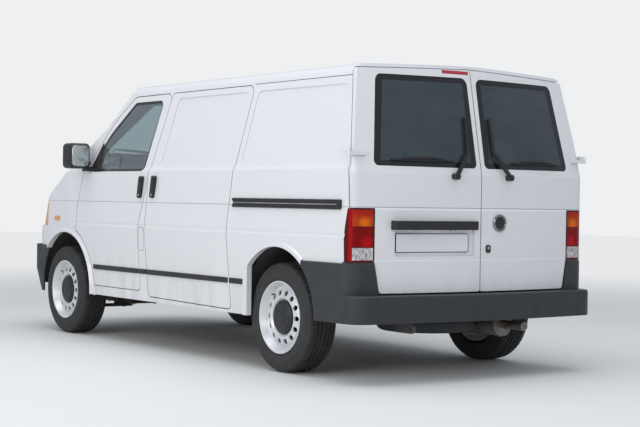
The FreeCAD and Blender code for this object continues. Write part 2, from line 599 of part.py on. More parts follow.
# Floor pan: load floor, cab floor, sills, wheel houses, bulkheads and rails.
hub_front_x = layout_wheelbase
load_floor = block(-775, 1500, -900, 900, floor_z - sheet_steel, floor_z)
cab_step = block(1488, 1500, -900, 900, cab_floor_z - sheet_steel, floor_z)
cab_floor = block(1500, 2690, -900, 900, cab_floor_z - sheet_steel, cab_floor_z)
sill = block(300, 2400, 800, 900, sill_bottom_z + 10, floor_z - sheet_steel)
sill = sill.cut(block(200, 2500, 812, 895, sill_bottom_z + 22, cab_floor_z - sheet_steel))
firewall = block(2690, 2702, -900, 900, cab_floor_z - sheet_steel, 1140)
partition = block(1440, 1452, -900, 900, floor_z + seat_gap, 1900).common(body_inner)
rail = block(-690, 1490, 395, 455, 400, 500)
cab_rail = block(1480, 2696, 395, 455, 330, cab_floor_z - sheet_steel)
front_rail = block(2690, 3570, 380, 440, 400, 500)
front_beam = block(3560, 3590, -480, 480, 400, 500)
cross_member = block(-730, -690, -860, 860, 400, floor_z - sheet_steel)
arm_bracket = block(430, 510, 441, 455, 300, 401)
front_tub = across(460, 2885, axle_height + 6, 455, 905)
front_tub_air = across(450, 2885, axle_height + 6, 465, 1200)
front_tub_air = front_tub_air.fuse(block(2435, 3335, 465, 1200, 0, axle_height + 6))
tower = upright(75, hub_front_x, kingpin_top_y, 750, kingpin_top_z + 10)
tower_air = upright(65, hub_front_x, kingpin_top_y, 700, kingpin_top_z)
rear_tub = across(arch_rear_radius + 22, arch_rear_x, axle_height, 575, 905)
rear_tub_air = across(arch_rear_radius + 10, arch_rear_x, axle_height, 587, 1200)
rear_tub_air = rear_tub_air.fuse(block(arch_rear_x - arch_rear_radius - 10, arch_rear_x + arch_rear_radius + 10, 587, 1200,
                                       0, axle_height))
tub_zone = block(-700, 3600, 300, 1000, 400, 1100)
wheel_air = [front_tub_air, rear_tub_air, tower_air]
front_house = front_tub.fuse(tower).common(tub_zone).cut(wheel_air).common(body_inner)
rear_house = rear_tub.common(tub_zone).cut(wheel_air).common(body_inner)
tubs = front_tub.fuse(tower).fuse(rear_tub).common(tub_zone)
wheel_air = wheel_air + [other_side(air) for air in wheel_air]
wheel_room = wheel_air + [tubs, other_side(tubs)]
eye_plate = side_prism([(-862, 288, 27), (-692, 288, 10), (-692, 402, 0), (-728, 402, 0), (-728, 344, 6),
                        (-862, 344, 27)], 520, 536)
eye_plate = eye_plate.cut(across(15, -834, 316, 500, 560))


def pressing(raw, neighbours):
    """One pressing of the floor: it ends at the wheel houses, the body side and its neighbours."""
    return raw.cut(wheel_room + neighbours).common(body_inner)


firewall = pressing(firewall, [])
cab_step = pressing(cab_step, [])
sill = pressing(sill, [cab_step])
sills = [sill, other_side(sill)]
load_floor = pressing(load_floor, [cab_step] + sills)
cab_floor = pressing(cab_floor, [cab_step, firewall] + sills)
cross_member = pressing(cross_member, [load_floor])
front_rail = pressing(front_rail, [firewall])
front_beam = pressing(front_beam, [front_rail, other_side(front_rail)])
rail = pressing(rail, [cross_member, cab_step])
cab_rail = pressing(cab_rail, [cab_step, firewall, rail, cab_floor, front_rail])
arm_bracket = pressing(arm_bracket, [rail])
eye_plate = eye_plate.cut(cross_member)
pressings = [load_floor, cab_step, cab_floor, firewall, cross_member, front_beam, eye_plate]
for half in (sill, rail, cab_rail, front_rail, arm_bracket, front_house, rear_house):
    pressings.append(half)
    pressings.append(other_side(half))
floor_pan = Part.makeCompound(pressings)

# Interior.
dash_outline = [(2690, 930, 0), (2690, 1150, 0), (2560, 1190, 40), (2380, 1150, 60), (2330, 1000, 60), (2400, 900, 40)]
dashboard = side_prism(dash_outline, -800, 800).common(body_inner)
wheel_ring = Part.makeTorus(185, 15)
wheel_hub = Part.makeCylinder(55, 40, Vector(0, 0, -20))
spoke = Part.makeBox(360, 34, 16, Vector(-180, -17, -8))
spoke_down = Part.makeBox(34, 180, 16, Vector(-17, -180, -8))
steering_wheel = wheel_ring.fuse([wheel_hub, spoke, spoke_down])
steering_wheel.rotate(Vector(0, 0, 0), Vector(0, 0, 1), -90)
steering_wheel.rotate(Vector(0, 0, 0), Vector(0, 1, 0), -58)
steering_wheel.translate(Vector(at(2215), 400, 1120))


def seat(y0, y1):
    cushion = prism([(at(1640), 690, 30), (at(2150), 690, 50), (at(2140), 820, 45), (at(1700), 800, 20)], "xz",
                    Vector(0, y0, 0), Vector(0, y1 - y0, 0))
    back = prism([(at(1560), 705, 20), (at(1676), 705, 20), (at(1600), 1380, 40), (at(1500), 1380, 40)], "xz",
                 Vector(0, y0 + 10, 0), Vector(0, y1 - y0 - 20, 0))
    middle = (y0 + y1) / 2
    rest = prism([(at(1500), 1400, 30), (at(1580), 1400, 30), (at(1570), 1560, 30), (at(1505), 1560, 30)], "xz",
                 Vector(0, middle - 120, 0), Vector(0, 240, 0))
    stem = block(1535, 1550, middle - 60, middle - 45, 1370, 1410)
    stem_b = block(1535, 1550, middle + 45, middle + 60, 1370, 1410)
    foot = block(1650, 2100, y0 + 40, y1 - 40, cab_floor_z, 690)
    return foot.fuse([cushion, back, rest, stem, stem_b])


seat_left = seat(140, 640)
seat_right = seat(-700, 100)

# Running gear.
engine = block(2800, 3300, -330, 330, 430, 1000)
beam = across(50, 60, 330, -690, 690)
arm = block(40, 470, 490, 540, 300, 370).fuse(across(28, 470, 335, 455, 540))
spring = upright(42, 60, 515, 340, floor_z - sheet_steel)
hub_end = tyre_width / 2 - 41
rear_stub = across(33.7, 0, axle_height, 600, rear_track_half + hub_end)
drum = across(130, 0, axle_height, 725, 795)
carrier_rear = block(0, 80, 600, 735, 290, 374)
rear_half = arm.fuse([rear_stub, drum, carrier_rear, spring])
rear_axle = beam.fuse([rear_half, other_side(rear_half)])
lower_arm = block(2880, 2960, 330, kingpin_low_y + 20, 190, kingpin_low_z)
ball = Part.makeSphere(18 - seat_gap, Vector(at(hub_front_x), kingpin_low_y, kingpin_low_z))
subframe = block(2660, 3120, -450, 450, 225, 290).cut(block(2800, 3000, -200, 200, 200, 300))
mount_leg = block(2700, 2780, 385, 435, 289, 400)
leg_front = block(3040, 3110, 385, 435, 289, 400)
half_axle = lower_arm.fuse([ball, mount_leg, leg_front])
lower_link = block(2880, 2960, 330, 450, kingpin_low_z - 10, 226)
engine_mount = block(2900, 3000, 225, 300, 289, 430 - seat_gap)
front_axle = subframe.fuse([half_axle, other_side(half_axle), lower_link, other_side(lower_link),
                            engine_mount, other_side(engine_mount)])
exhaust = Part.makeCylinder(75, 480, Vector(at(-660), -330, 300), Vector(1, 0, 0))
pipe = Part.makeCylinder(24, at(2640) - at(-200), Vector(at(-200), -330, 252), Vector(1, 0, 0))
tail_pipe = Part.makeCylinder(26, 200, Vector(at(-850), -330, 300), Vector(1, 0, 0))
hanger_rear = block(-600, -590, -335, -325, 370, floor_z - sheet_steel)
hanger_front = block(1600, 1610, -335, -325, 270, cab_floor_z - sheet_steel)
exhaust = exhaust.fuse([pipe, tail_pipe, hanger_rear, hanger_front])
tank = block(700, 1480, -280, 380, 330, floor_z - sheet_steel)
spare_x = -385
spare_y = 60
spare = upright(298, spare_x, spare_y, 258, 440)
spare = spare.makeFillet(38, spare.Edges).cut(upright(165, spare_x, spare_y, 200, 330))
carrier = upright(22, spare_x, spare_y, 400, floor_z - sheet_steel)
spare = spare.fuse(carrier)


def tyre():
    half = tyre_width / 2
    profile = [(rim_radius - 12, -half + 14, 0), (rim_radius + 2, -half + 14, 0), (rim_radius + 8, -half + 6, 4),
               (rim_radius + 55, -half, 30),
               (tyre_radius - 20, -half + 14, 30), (tyre_radius, -half + 34, 18), (tyre_radius, half - 34, 18),
               (tyre_radius - 20, half - 14, 30), (rim_radius + 55, half, 30), (rim_radius + 8, half - 6, 4),
               (rim_radius + 2, half - 14, 0), (rim_radius - 12, half - 14, 0)]
    face = Part.Face(rounded_wire(profile, "xy"))
    return face.revolve(Vector(0, 0, 0), Vector(0, 1, 0), 360)


def rim():
    half = tyre_width / 2
    outline = [(rim_radius - 12.3, half - 13, 0), (rim_radius, half - 13, 0), (rim_radius, half - 5, 3),
               (rim_radius - 8, half - 5, 3), (rim_radius - 20, half - 26, 12), (rim_radius - 34, half - 52, 10),
               (rim_radius - 46, half - 52, 10), (rim_hole_circle + 14, half - 37, 10), (hub_cap_radius + 16, half - 24, 14), (hub_cap_radius - 4, half - 40, 6),
               (34, half - 40, 0), (34, half - 50, 0), (hub_cap_radius - 2, half - 50, 6),
               (hub_cap_radius + 18, half - 34, 14), (rim_hole_circle + 12, half - 47, 10), (rim_radius - 46, half - 62, 8),
               (rim_radius - 34, half - 62, 0),
               (rim_radius - 34, -half + 30, 12), (rim_radius - 20, -half + 18, 6), (rim_radius - 12.3, -half + 13, 0)]
    face = Part.Face(rounded_wire(outline, "xy"))
    body = face.revolve(Vector(0, 0, 0), Vector(0, 1, 0), 360)
    hole = Part.makeCylinder(rim_hole_radius, 60, Vector(rim_hole_circle, half - 70, 0), Vector(0, 1, 0))
    tools = []
    for i in range(int(rim_hole_count)):
        copy = hole.copy()
        copy.rotate(Vector(0, 0, 0), Vector(0, 1, 0), 360.0 * i / rim_hole_count)
        tools.append(copy)
    body = body.cut(tools)
    return body


def hub_cap():
    half = tyre_width / 2
    disc = [(0, half - 39.7, 0), (hub_cap_radius - 8, half - 39.7, 0), (hub_cap_radius - 6, half - 30, 4),
            (hub_cap_radius - 30, half - 18, 10), (0, half - 14, 0)]
    return Part.Face(rounded_wire(disc, "xy")).revolve(Vector(0, 0, 0), Vector(0, 1, 0), 360)


def wheel_at(shape, x, y):
    moved = shape.copy()
    if y < 0:
        moved.rotate(Vector(0, 0, 0), Vector(0, 0, 1), 180)
    moved.translate(Vector(at(x), y, axle_height))
    return moved


def knuckle():
    """Left steering knuckle: stub axle, carrier, brake disc and the strut on the steering axis."""
    stub = across(33.7, hub_front_x, axle_height, front_track_half - 90, front_track_half + hub_end)
    disc = across(138, hub_front_x, axle_height, front_track_half - 38, front_track_half - 16)
    profile = [(-102, kingpin_low_z + 18, 6), (-50, kingpin_low_z + 18, 6), (-45, 400, 20), (-78, 478, 15),
               (-150, 492, 10), (-150, 445, 10), (-100, 380, 30)]
    profile = [(front_track_half + a, b, r) for a, b, r in profile]
    carrier = prism(profile, "yz", Vector(at(hub_front_x) - 35, 0, 0), Vector(70, 0, 0))
    low = Vector(at(hub_front_x), kingpin_low_y, kingpin_low_z)
    top = Vector(at(hub_front_x), kingpin_top_y, kingpin_top_z)
    along = (top - low).normalize()
    strut = Part.makeCylinder(22, 300, low + along * 230, along)
    rod = Part.makeCylinder(12, (top - low).Length - 529 - 3, low + along * 529, along)
    return stub.fuse([disc, carrier, strut, rod])


tyre_shape = tyre()
rim_shape = rim()
cap_shape = hub_cap()
wheel_places = [("front_left", hub_front_x, front_track_half), ("front_right", hub_front_x, -front_track_half),
                ("rear_left", 0, rear_track_half), ("rear_right", 0, -rear_track_half)]

# Mirrors and handles.

def fitting(points, y0, y1):
    """A part that sits on the outside of the body side."""
    return side_prism(points, y0, y1).cut(body_outer)


handle_cab = fitting([(1680, 1035, 18), (1722, 1035, 18), (1692, 1187, 18), (1650, 1187, 18)], body_half - 60, body_half + 12)
handle_slide = fitting([(1500, 1037, 18), (1542, 1037, 18), (1513, 1189, 18), (1471, 1189, 18)], body_half - 60, body_half + 12)
strip_cab = fitting([(1712, 512, 4), (2386, 512, 4), (2396, 545, 4), (1716, 545, 4)], body_half - 40, body_half)
strip_slide = fitting([(535, 512, 4), (1590, 512, 4), (1592, 545, 4), (535, 545, 4)], body_half - 40, body_half)
strip_post = fitting([(1604, 512, 4), (1695, 512, 4), (1698, 545, 4), (1606, 545, 4)], body_half - 40, body_half)
strip_quarter = fitting([(335, 512, 4), (505, 512, 4), (508, 545, 4), (335, 545, 4)], body_half - 40, body_half)
strip_right = fitting([(335, 512, 4), (1695, 512, 4), (1698, 545, 4), (335, 545, 4)], body_half - 40, body_half)
slide_rail = fitting([(-670, 990, 10), (540, 990, 10), (535, 1046, 10), (-670, 1046, 10)], body_half - 40, body_half + 4)
slide_rail = slide_rail.cut(side_prism([(-632, 1005, 6), (560, 1005, 6), (560, 1031, 6), (-632, 1031, 6)], body_half - 3, body_half + 180))
slide_rail = slide_rail.cut(side_prism([(480, 900, 0), (700, 900, 0), (700, 1100, 0), (480, 1100, 0)], 0, 1200))
mirror_body = Part.makeBox(150, 168, 186, Vector(at(2450), body_half - 2, 1244))
mirror_body = mirror_body.makeFillet(32, mirror_body.Edges)
mirror_foot = side_prism([(2440, 1226, 8), (2540, 1226, 8), (2520, 1262, 8), (2450, 1262, 8)], body_half - 70, body_half + 30).cut(body_outer)
sail = body_proud.cut(body_outer).common(side_prism([(2352, 1228, 6), (2504, 1228, 6), (2352, 1444, 6)]))
door_fittings = Part.makeCompound([mirror_body.fuse([mirror_foot, sail]), handle_cab, strip_cab])

# Rear door furniture.
handle_bar = block(-840, -760, 38, 643, 879, 930).cut(body_outer)
brake_lamp = block(-860, -560, 16, 215, 1797, 1818).common(pane)
lean_degrees = math.degrees(math.atan(rear_lean))
arm_outline = [(192, -10, 9), (226, -14, 9), (118, 132, 6), (92, 128, 6)]
arm_low = prism(arm_outline, "yz", Vector(-26, 0, 0), Vector(11, 0, 0))
blade_outline = [(90, 118, 5), (113, 122, 5), (101, 344, 3), (89, 344, 3)]
blade = prism(blade_outline, "yz", Vector(-19, 0, 0), Vector(30, 0, 0))
arm_low = tilted(arm_low, lean_degrees, at(rear_x), rear_lean_z)
blade = tilted(blade, lean_degrees, at(rear_x), rear_lean_z).cut(body_outer)
wiper_boss = Part.makeCylinder(19, 80, Vector(at(-852), 210, 1190), Vector(1, 0, 0)).cut(body_outer)
wiper = wiper_boss.fuse([arm_low, blade])
badge = Part.makeCylinder(52.5, 60, Vector(at(-821), 147, 920), Vector(1, 0, 0)).cut(body_outer)
lamp_room = block(-860, -560, 16, 215, 1797, 1818)
plate_room = skin.common(rear_prism([(49, plate_recess_low_z, 14), (617, plate_recess_low_z, 14),
                                     (617, handle_bar_low_z + 2, 4), (49, handle_bar_low_z + 2, 4)], -1000, -690))
lock = rear_prism([(40, 744, 12), (76, 744, 12), (76, 790, 12), (40, 790, 12)], -1000, -690)
lock = body_proud.cut(body_outer).common(lock)
rear_fittings_left = Part.makeCompound([handle_bar, wiper, brake_lamp])
rear_fittings_right = Part.makeCompound([wiper, badge, lock])
hinge_low = [(1296, -720)]
door_leaves = []
body_leaves = []
for low, reach in hinge_low:
    door_leaves.append(upright(8, rear_hinge_x, rear_hinge_y, low, low + 21).fuse(
        block(rear_hinge_x - 8, reach, 800, rear_hinge_y, low, low + 21).cut(body_outer)))
    arm_piece = block(rear_hinge_x, rear_hinge_x + 75, rear_hinge_y - 8, rear_hinge_y + 6, low + 22, low + 44)
    foot_piece = block(rear_hinge_x + 58, rear_hinge_x + 75, 870, rear_hinge_y - 7, low + 22, low + 44).cut(body_outer)
    body_leaves.append(upright(8, rear_hinge_x, rear_hinge_y, low + 22, low + 44).fuse([arm_piece, foot_piece]))
rear_door = rear_door.fuse(door_leaves)
groove_band = body_outer.cut(master(groove_depth))
belt_groove = groove_band.common(block(-1000, 2700, 300, 1200, rear_split_z + 2, rear_split_z + 7))
gutter_band = skin.common(block(-606, 414, 300, 1200, gutter_z, gutter_z + 4))
gutter_right = other_side(skin.common(block(-606, 1446, 300, 1200, gutter_z, gutter_z + 4)))
roof = roof.cut([gutter_band, gutter_right])
rear_groove = groove_band.common(block(-1000, -700, 0, 1200, rear_split_z + 2, rear_split_z + 7))
low_groove = groove_band.common(block(-1000, -700, 0, rear_door_mid_half + 10, groove_low_z, groove_low_z + 6))
rear_door = rear_door.cut([rear_groove, low_groove])
slide_door = slide_door.cut(belt_groove)
cab_door = cab_door.cut(belt_groove)
side_left = side_left.cut(belt_groove)
side_right = side_right.cut(belt_groove)
rear_door_left = rear_door.cut([plate_room, pane.common(lamp_room)])
side_left = side_left.fuse(body_leaves)
side_right = side_right.fuse(body_leaves)

# Jacking pads.
for pad_x in (560, 2160):
    pad = block(pad_x - 35, pad_x + 35, 812, 850, 312, sill_bottom_z + 14).cut(sill)
    pressings.append(pad)
    pressings.append(other_side(pad))
partition = partition.cut([tubs, other_side(tubs)])
pressings.append(partition)
column = Part.makeCylinder(24, 260, Vector(at(2215), 400, 1120), Vector(0.848, 0, -0.53))
steering_wheel = steering_wheel.fuse(column.cut(dashboard))
steering_wheel = only_solids(steering_wheel.cut(dashboard))

node("floor_pan", Part.makeCompound(pressings))
node("side_left", side_left)
node("side_right", other_side(side_right))
node("roof", roof)
node("screen_surround", surround)
node("windscreen", windscreen)
node("wings", wings)
node("bonnet", bonnet)
node("grille", grille)
node("nose_panel", nose_panel)
node("lamps", Part.makeCompound([lamp, other_side(lamp), tail_lamp, other_side(tail_lamp),
                                 marker, other_side(marker)]))
node("front_bumper", front_bumper)
node("rear_bumper", rear_bumper)
node("sliding_door", slide_door)
node("side_trim", Part.makeCompound([slide_rail, handle_slide, strip_slide, strip_post, strip_quarter,
                                     other_side(strip_right)]))
node("dashboard", dashboard)
node("steering_wheel", steering_wheel)
node("seats", Part.makeCompound([seat_left, seat_right]))
node("engine", engine)
node("front_axle", front_axle)
node("rear_axle", rear_axle)
node("underfloor_parts", Part.makeCompound([tank, exhaust, spare]))
node("fuel_flap", fuel_flap)
node("cab_door_left", cab_door)
node("cab_door_right", other_side(cab_door))
node("cab_glass_left", cab_glass)
node("cab_glass_right", other_side(cab_glass))
node("door_fittings_left", door_fittings)
node("door_fittings_right", other_side(door_fittings))
node("rear_door_left", rear_door_left)
node("rear_door_right", other_side(rear_door))
node("rear_glass_left", rear_glass)
node("rear_glass_right", other_side(rear_glass))
node("rear_fittings_left", rear_fittings_left)
node("rear_fittings_right", other_side(rear_fittings_right))
node("knuckle_left", knuckle())
node("knuckle_right", other_side(knuckle()))
for name, x, y in wheel_places:
    node("tyre_" + name, wheel_at(tyre_shape, x, y))
    node("rim_" + name, Part.makeCompound([wheel_at(rim_shape, x, y), wheel_at(cap_shape, x, y)]))
doc.recompute()
for item in doc.Objects:
    state = [str(word) for word in item.State]
    if "Invalid" in state or "Error" in state:
        raise RuntimeError("failed object: " + item.Label)
for item in nodes:
    if item.Shape.isNull() or not item.Shape.isValid():
        raise RuntimeError("bad shape: " + item.Label)
os.makedirs("parts", exist_ok=True)
for item in nodes:
    item.Shape.exportStep("parts/%s.step" % item.Label)
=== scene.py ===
import json
import math
from functools import reduce

import bmesh
import bpy
from mathutils import Matrix, Vector
from mathutils.bvhtree import BVHTree


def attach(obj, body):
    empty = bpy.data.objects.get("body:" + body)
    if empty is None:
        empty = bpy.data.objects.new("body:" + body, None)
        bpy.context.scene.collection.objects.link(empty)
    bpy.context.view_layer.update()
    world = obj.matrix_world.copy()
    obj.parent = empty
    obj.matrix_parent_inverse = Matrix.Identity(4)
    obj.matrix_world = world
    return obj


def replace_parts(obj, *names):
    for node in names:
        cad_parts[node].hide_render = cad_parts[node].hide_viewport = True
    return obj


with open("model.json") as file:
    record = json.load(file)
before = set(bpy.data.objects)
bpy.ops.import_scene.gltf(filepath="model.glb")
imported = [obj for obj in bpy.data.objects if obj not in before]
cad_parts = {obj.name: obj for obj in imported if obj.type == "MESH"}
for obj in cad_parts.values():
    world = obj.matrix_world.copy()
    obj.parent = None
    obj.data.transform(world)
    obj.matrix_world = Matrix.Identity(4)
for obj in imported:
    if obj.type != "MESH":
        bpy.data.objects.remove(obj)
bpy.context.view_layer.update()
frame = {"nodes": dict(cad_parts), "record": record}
nodes = frame["nodes"]
X, Y, Z = Vector((1, 0, 0)), Vector((0, 1, 0)), Vector((0, 0, 1))
both_sides = (("left", 1), ("right", -1))


def middle_of(node):
    """Middle of a construction node's box, to the millimetre."""
    corners = [nodes[node].matrix_world @ vertex.co for vertex in nodes[node].data.vertices]
    spans = [[corner[i] for corner in corners] for i in range(3)]
    return Vector([round((min(span) + max(span)) / 2, 3) for span in spans])


wheels = {}
for end in ("front", "rear"):
    for side_name, side_way in both_sides:
        wheels[end + "_" + side_name] = (middle_of("tyre_" + end + "_" + side_name), side_way)
front_axle_x = wheels["front_left"][0].x
rear_axle_x = wheels["rear_left"][0].x
axle_z = wheels["front_left"][0].z

# Middles of the round wheel houses in side view.
rear_house = (-1.445, 0.332)
front_house = (1.46, 0.338)


# Node helpers.

class Tree:
    """A node tree, built link by link."""

    def __init__(self, owner):
        owner.use_nodes = True
        self.tree = owner.node_tree
        self.tree.nodes.clear()

    def link(self, a, b):
        self.tree.links.new(a, b)

    def put(self, socket, value):
        if isinstance(value, bpy.types.NodeSocket):
            self.link(value, socket)
        elif socket.type == "RGBA":
            socket.default_value = (*value, 1)
        else:
            socket.default_value = value

    def fill(self, node, values):
        for key, value in values.items():
            self.put(node.inputs[key.replace("_", " ")], value)

    def node(self, kind, **values):
        """A new node with its named inputs set or linked."""
        node = self.tree.nodes.new("ShaderNode" + kind)
        self.fill(node, values)
        return node

    def math(self, operation, *values):
        node = self.node("Math")
        node.operation = operation
        for socket, value in zip(node.inputs, values):
            self.put(socket, value)
        return node.outputs[0]

    def blend(self, factor, a, b):
        """Mix of two shaders."""
        node = self.node("MixShader")
        for socket, value in zip(node.inputs, (factor, a, b)):
            self.put(socket, value)
        return node.outputs[0]


class Shader(Tree):
    """One surface material."""

    def __init__(self, name):
        self.material = bpy.data.materials.new(name)
        super().__init__(self.material)
        self.out = self.node("OutputMaterial")
        self.bsdf = self.node("BsdfPrincipled")
        self.link(self.bsdf.outputs[0], self.out.inputs["Surface"])
        self.coord = self.node("TexCoord").outputs["Object"]

    def set(self, **values):
        self.fill(self.bsdf, values)

    def times(self, *values):
        return reduce(lambda a, b: self.math("MULTIPLY", a, b), values)

    def most(self, *values):
        return reduce(lambda a, b: self.math("MAXIMUM", a, b), values)

    def size(self, value):
        return self.math("ABSOLUTE", value)

    def reach(self, a, b, a0=0.0, b0=0.0):
        """Distance from a point in two coordinates."""
        da, db = self.math("SUBTRACT", a, a0), self.math("SUBTRACT", b, b0)
        return self.math("SQRT", self.math("ADD", self.times(da, da), self.times(db, db)))

    def ramp(self, value, low, high, start=0.0, end=1.0):
        node = self.node("MapRange", Value=value, From_Min=low, From_Max=high, To_Min=start, To_Max=end)
        node.interpolation_type = "SMOOTHSTEP"
        return node.outputs[0]

    def band(self, value, low, high, rise, fall=None):
        """1 between low and high, 0 outside, with soft ends inside."""
        return self.times(self.ramp(value, low, low + rise), self.ramp(value, high, high - (fall or rise)))

    def split(self, vector=None):
        return self.node("SeparateXYZ", Vector=vector or self.coord).outputs[:3]

    def mapped(self, scale):
        return self.node("Mapping", Vector=self.coord, Scale=scale).outputs[0]

    def noise(self, scale, detail=3, rough=0.5, vector=None):
        values = {"Vector": vector or self.coord, "Scale": scale, "Detail": detail, "Roughness": rough}
        return self.node("TexNoise", **values).outputs["Fac"]

    def wave(self, scale, vector, distortion, direction):
        node = self.node("TexWave", Vector=vector, Scale=scale, Distortion=distortion)
        node.bands_direction = direction
        return node.outputs["Fac"]

    def cells(self, scale):
        return self.node("TexVoronoi", Vector=self.coord, Scale=scale).outputs["Distance"]

    def crevice(self, reach):
        node = self.node("AmbientOcclusion", Distance=reach)
        node.samples = 6
        return node.outputs["AO"]

    def mix(self, factor, a, b):
        """Mix of two colours, by the places of the node's colour sockets."""
        node = self.node("Mix")
        node.data_type = "RGBA"
        for place, value in ((0, factor), (6, a), (7, b)):
            self.put(node.inputs[place], value)
        return node.outputs[2]

    def bump(self, height, strength, distance):
        node = self.node("Bump", Strength=strength, Distance=distance, Height=height)
        self.link(node.outputs[0], self.bsdf.inputs["Normal"])


# Materials. A pair of tones is the dark and the light end of one colour.

trim_tones = ((0.01, 0.01, 0.011), (0.017, 0.017, 0.019))
coat_tones = ((0.04, 0.04, 0.042), (0.082, 0.077, 0.07))


def paint(name, colour, grime=0.35, houses=False, groove_shades=(), ridge_highlights=()):
    """White body paint: faint cloudiness, road film low down, painted shade in seams, creases and under
    parts that also stands for the dark seals in the panel gaps, dark coat in the wheel houses, a dark band
    under the tail lamps, painted shade along grooves and painted highlights along ridges.
    """
    s = Shader(name)
    x, y, z = s.split()
    streak = s.noise(9, 4, 0.6, s.mapped((1, 1, 0.12)))
    film = s.times(s.ramp(z, 0.8, 0.32), s.ramp(streak, 0.3, 0.75), grime)
    base = s.mix(s.noise(1.3, 4, 0.55), colour, tuple(c * 0.975 for c in colour))
    surface = s.mix(film, base, (0.36, 0.35, 0.33))
    # Occlusion mask: painted shade in seams, creases and under parts, which also stands for the dark seals
    # in the panel gaps; none above 1.8 m.
    dark = s.times(s.ramp(s.crevice(0.014), 0.5, 0.12), s.ramp(z, 1.8, 1.785))
    if houses:
        near = s.most(s.ramp(s.reach(x, z, *rear_house), 0.449, 0.448),
                      s.ramp(s.reach(x, z, *front_house), 0.461, 0.46), s.ramp(z, 0.5605, 0.5595))
        inner = s.times(s.ramp(s.size(y), 0.8935, 0.8925), near, s.ramp(z, 0.79, 0.785))
        under_lamp = s.times(s.band(z, 0.687, 0.697, 0.001), s.ramp(x, -2.11, -2.115))
        dark = s.most(dark, inner, under_lamp)
    # Painted highlights: lighter bands along the given ridges.
    for low, high, share in ridge_highlights:
        surface = s.mix(s.times(s.band(z, low, high, 0.0015), share), surface, (0.96, 0.97, 0.98))
    # Painted shade: darker bands along the given grooves.
    for low, high, share in groove_shades:
        dark = s.most(dark, s.times(s.band(z, low, high, 0.001, 0.0015), share))
    s.set(Base_Color=s.mix(dark, surface, (0.018, 0.018, 0.019)), Roughness=s.ramp(film, 0, 0.5, 0.22, 0.5),
          Coat_Weight=0.6, Coat_Roughness=0.05, IOR=1.47)
    s.bump(s.noise(420, 2, 0.5), 0.03, 0.0006)
    return s.material


def moulded(name, dark, light, grain, rough, dust):
    """Grained plastic, lighter on what faces up: painted light from above, partly dust."""
    s = Shader(name)
    base = s.mix(s.noise(6, 5, 0.6), dark, light)
    facing_up = s.split(s.node("NewGeometry").outputs["Normal"])[2]
    # Painted light: faces that look up are mixed towards a pale grey, partly for dust.
    top = s.times(s.ramp(facing_up, 0.5, 0.95), dust)
    s.set(Base_Color=s.mix(top, base, (0.3, 0.29, 0.275)),
          Roughness=s.ramp(s.noise(14, 4), 0.3, 0.7, rough - 0.08, rough + 0.1))
    s.bump(s.noise(grain, 3, 0.6), 0.25, 0.0006)
    return s.material


def glazing(name, tint, through, border):
    """Tinted glass; border is a function that returns the share of black print."""
    s = Shader(name)
    film = s.ramp(s.noise(3.0, 5, 0.6, s.mapped((1, 1, 2.5))), 0.3, 0.8)
    clear = s.mix(s.times(film, 0.16), tint, (0.3, 0.34, 0.36))
    black_share = border(s)
    s.set(Base_Color=s.mix(black_share, clear, (0.0115, 0.0115, 0.014)), IOR=1.48,
          Transmission_Weight=s.ramp(black_share, 0, 1, through, 0.0),
          Roughness=s.ramp(black_share, 0, 1, 0.015, 0.16))
    return s.material


def inside(s, a, b, corners, soft=0.012):
    """Distance inside a convex outline drawn in two coordinates; corners run clockwise."""
    reaches = []
    for p, q in zip(corners, corners[1:] + corners[:1]):
        dx, dy = q[0] - p[0], q[1] - p[1]
        size = math.hypot(dx, dy)
        nx, ny = dy / size, -dx / size
        along = s.math("ADD", s.times(a, nx), s.times(b, ny))
        reaches.append(s.math("SUBTRACT", along, nx * p[0] + ny * p[1]))
    return reduce(lambda first, second: s.math("SMOOTH_MIN", first, second, soft), reaches)


def print_outside(outline, soft, from_side=False):
    """Function for the share of black print outside an outline, seen from the rear or from the side."""
    def share(s):
        x, y, z = s.split()
        return s.ramp(inside(s, x if from_side else s.size(y), z, outline, soft), 0.0006, -0.0006)
    return share


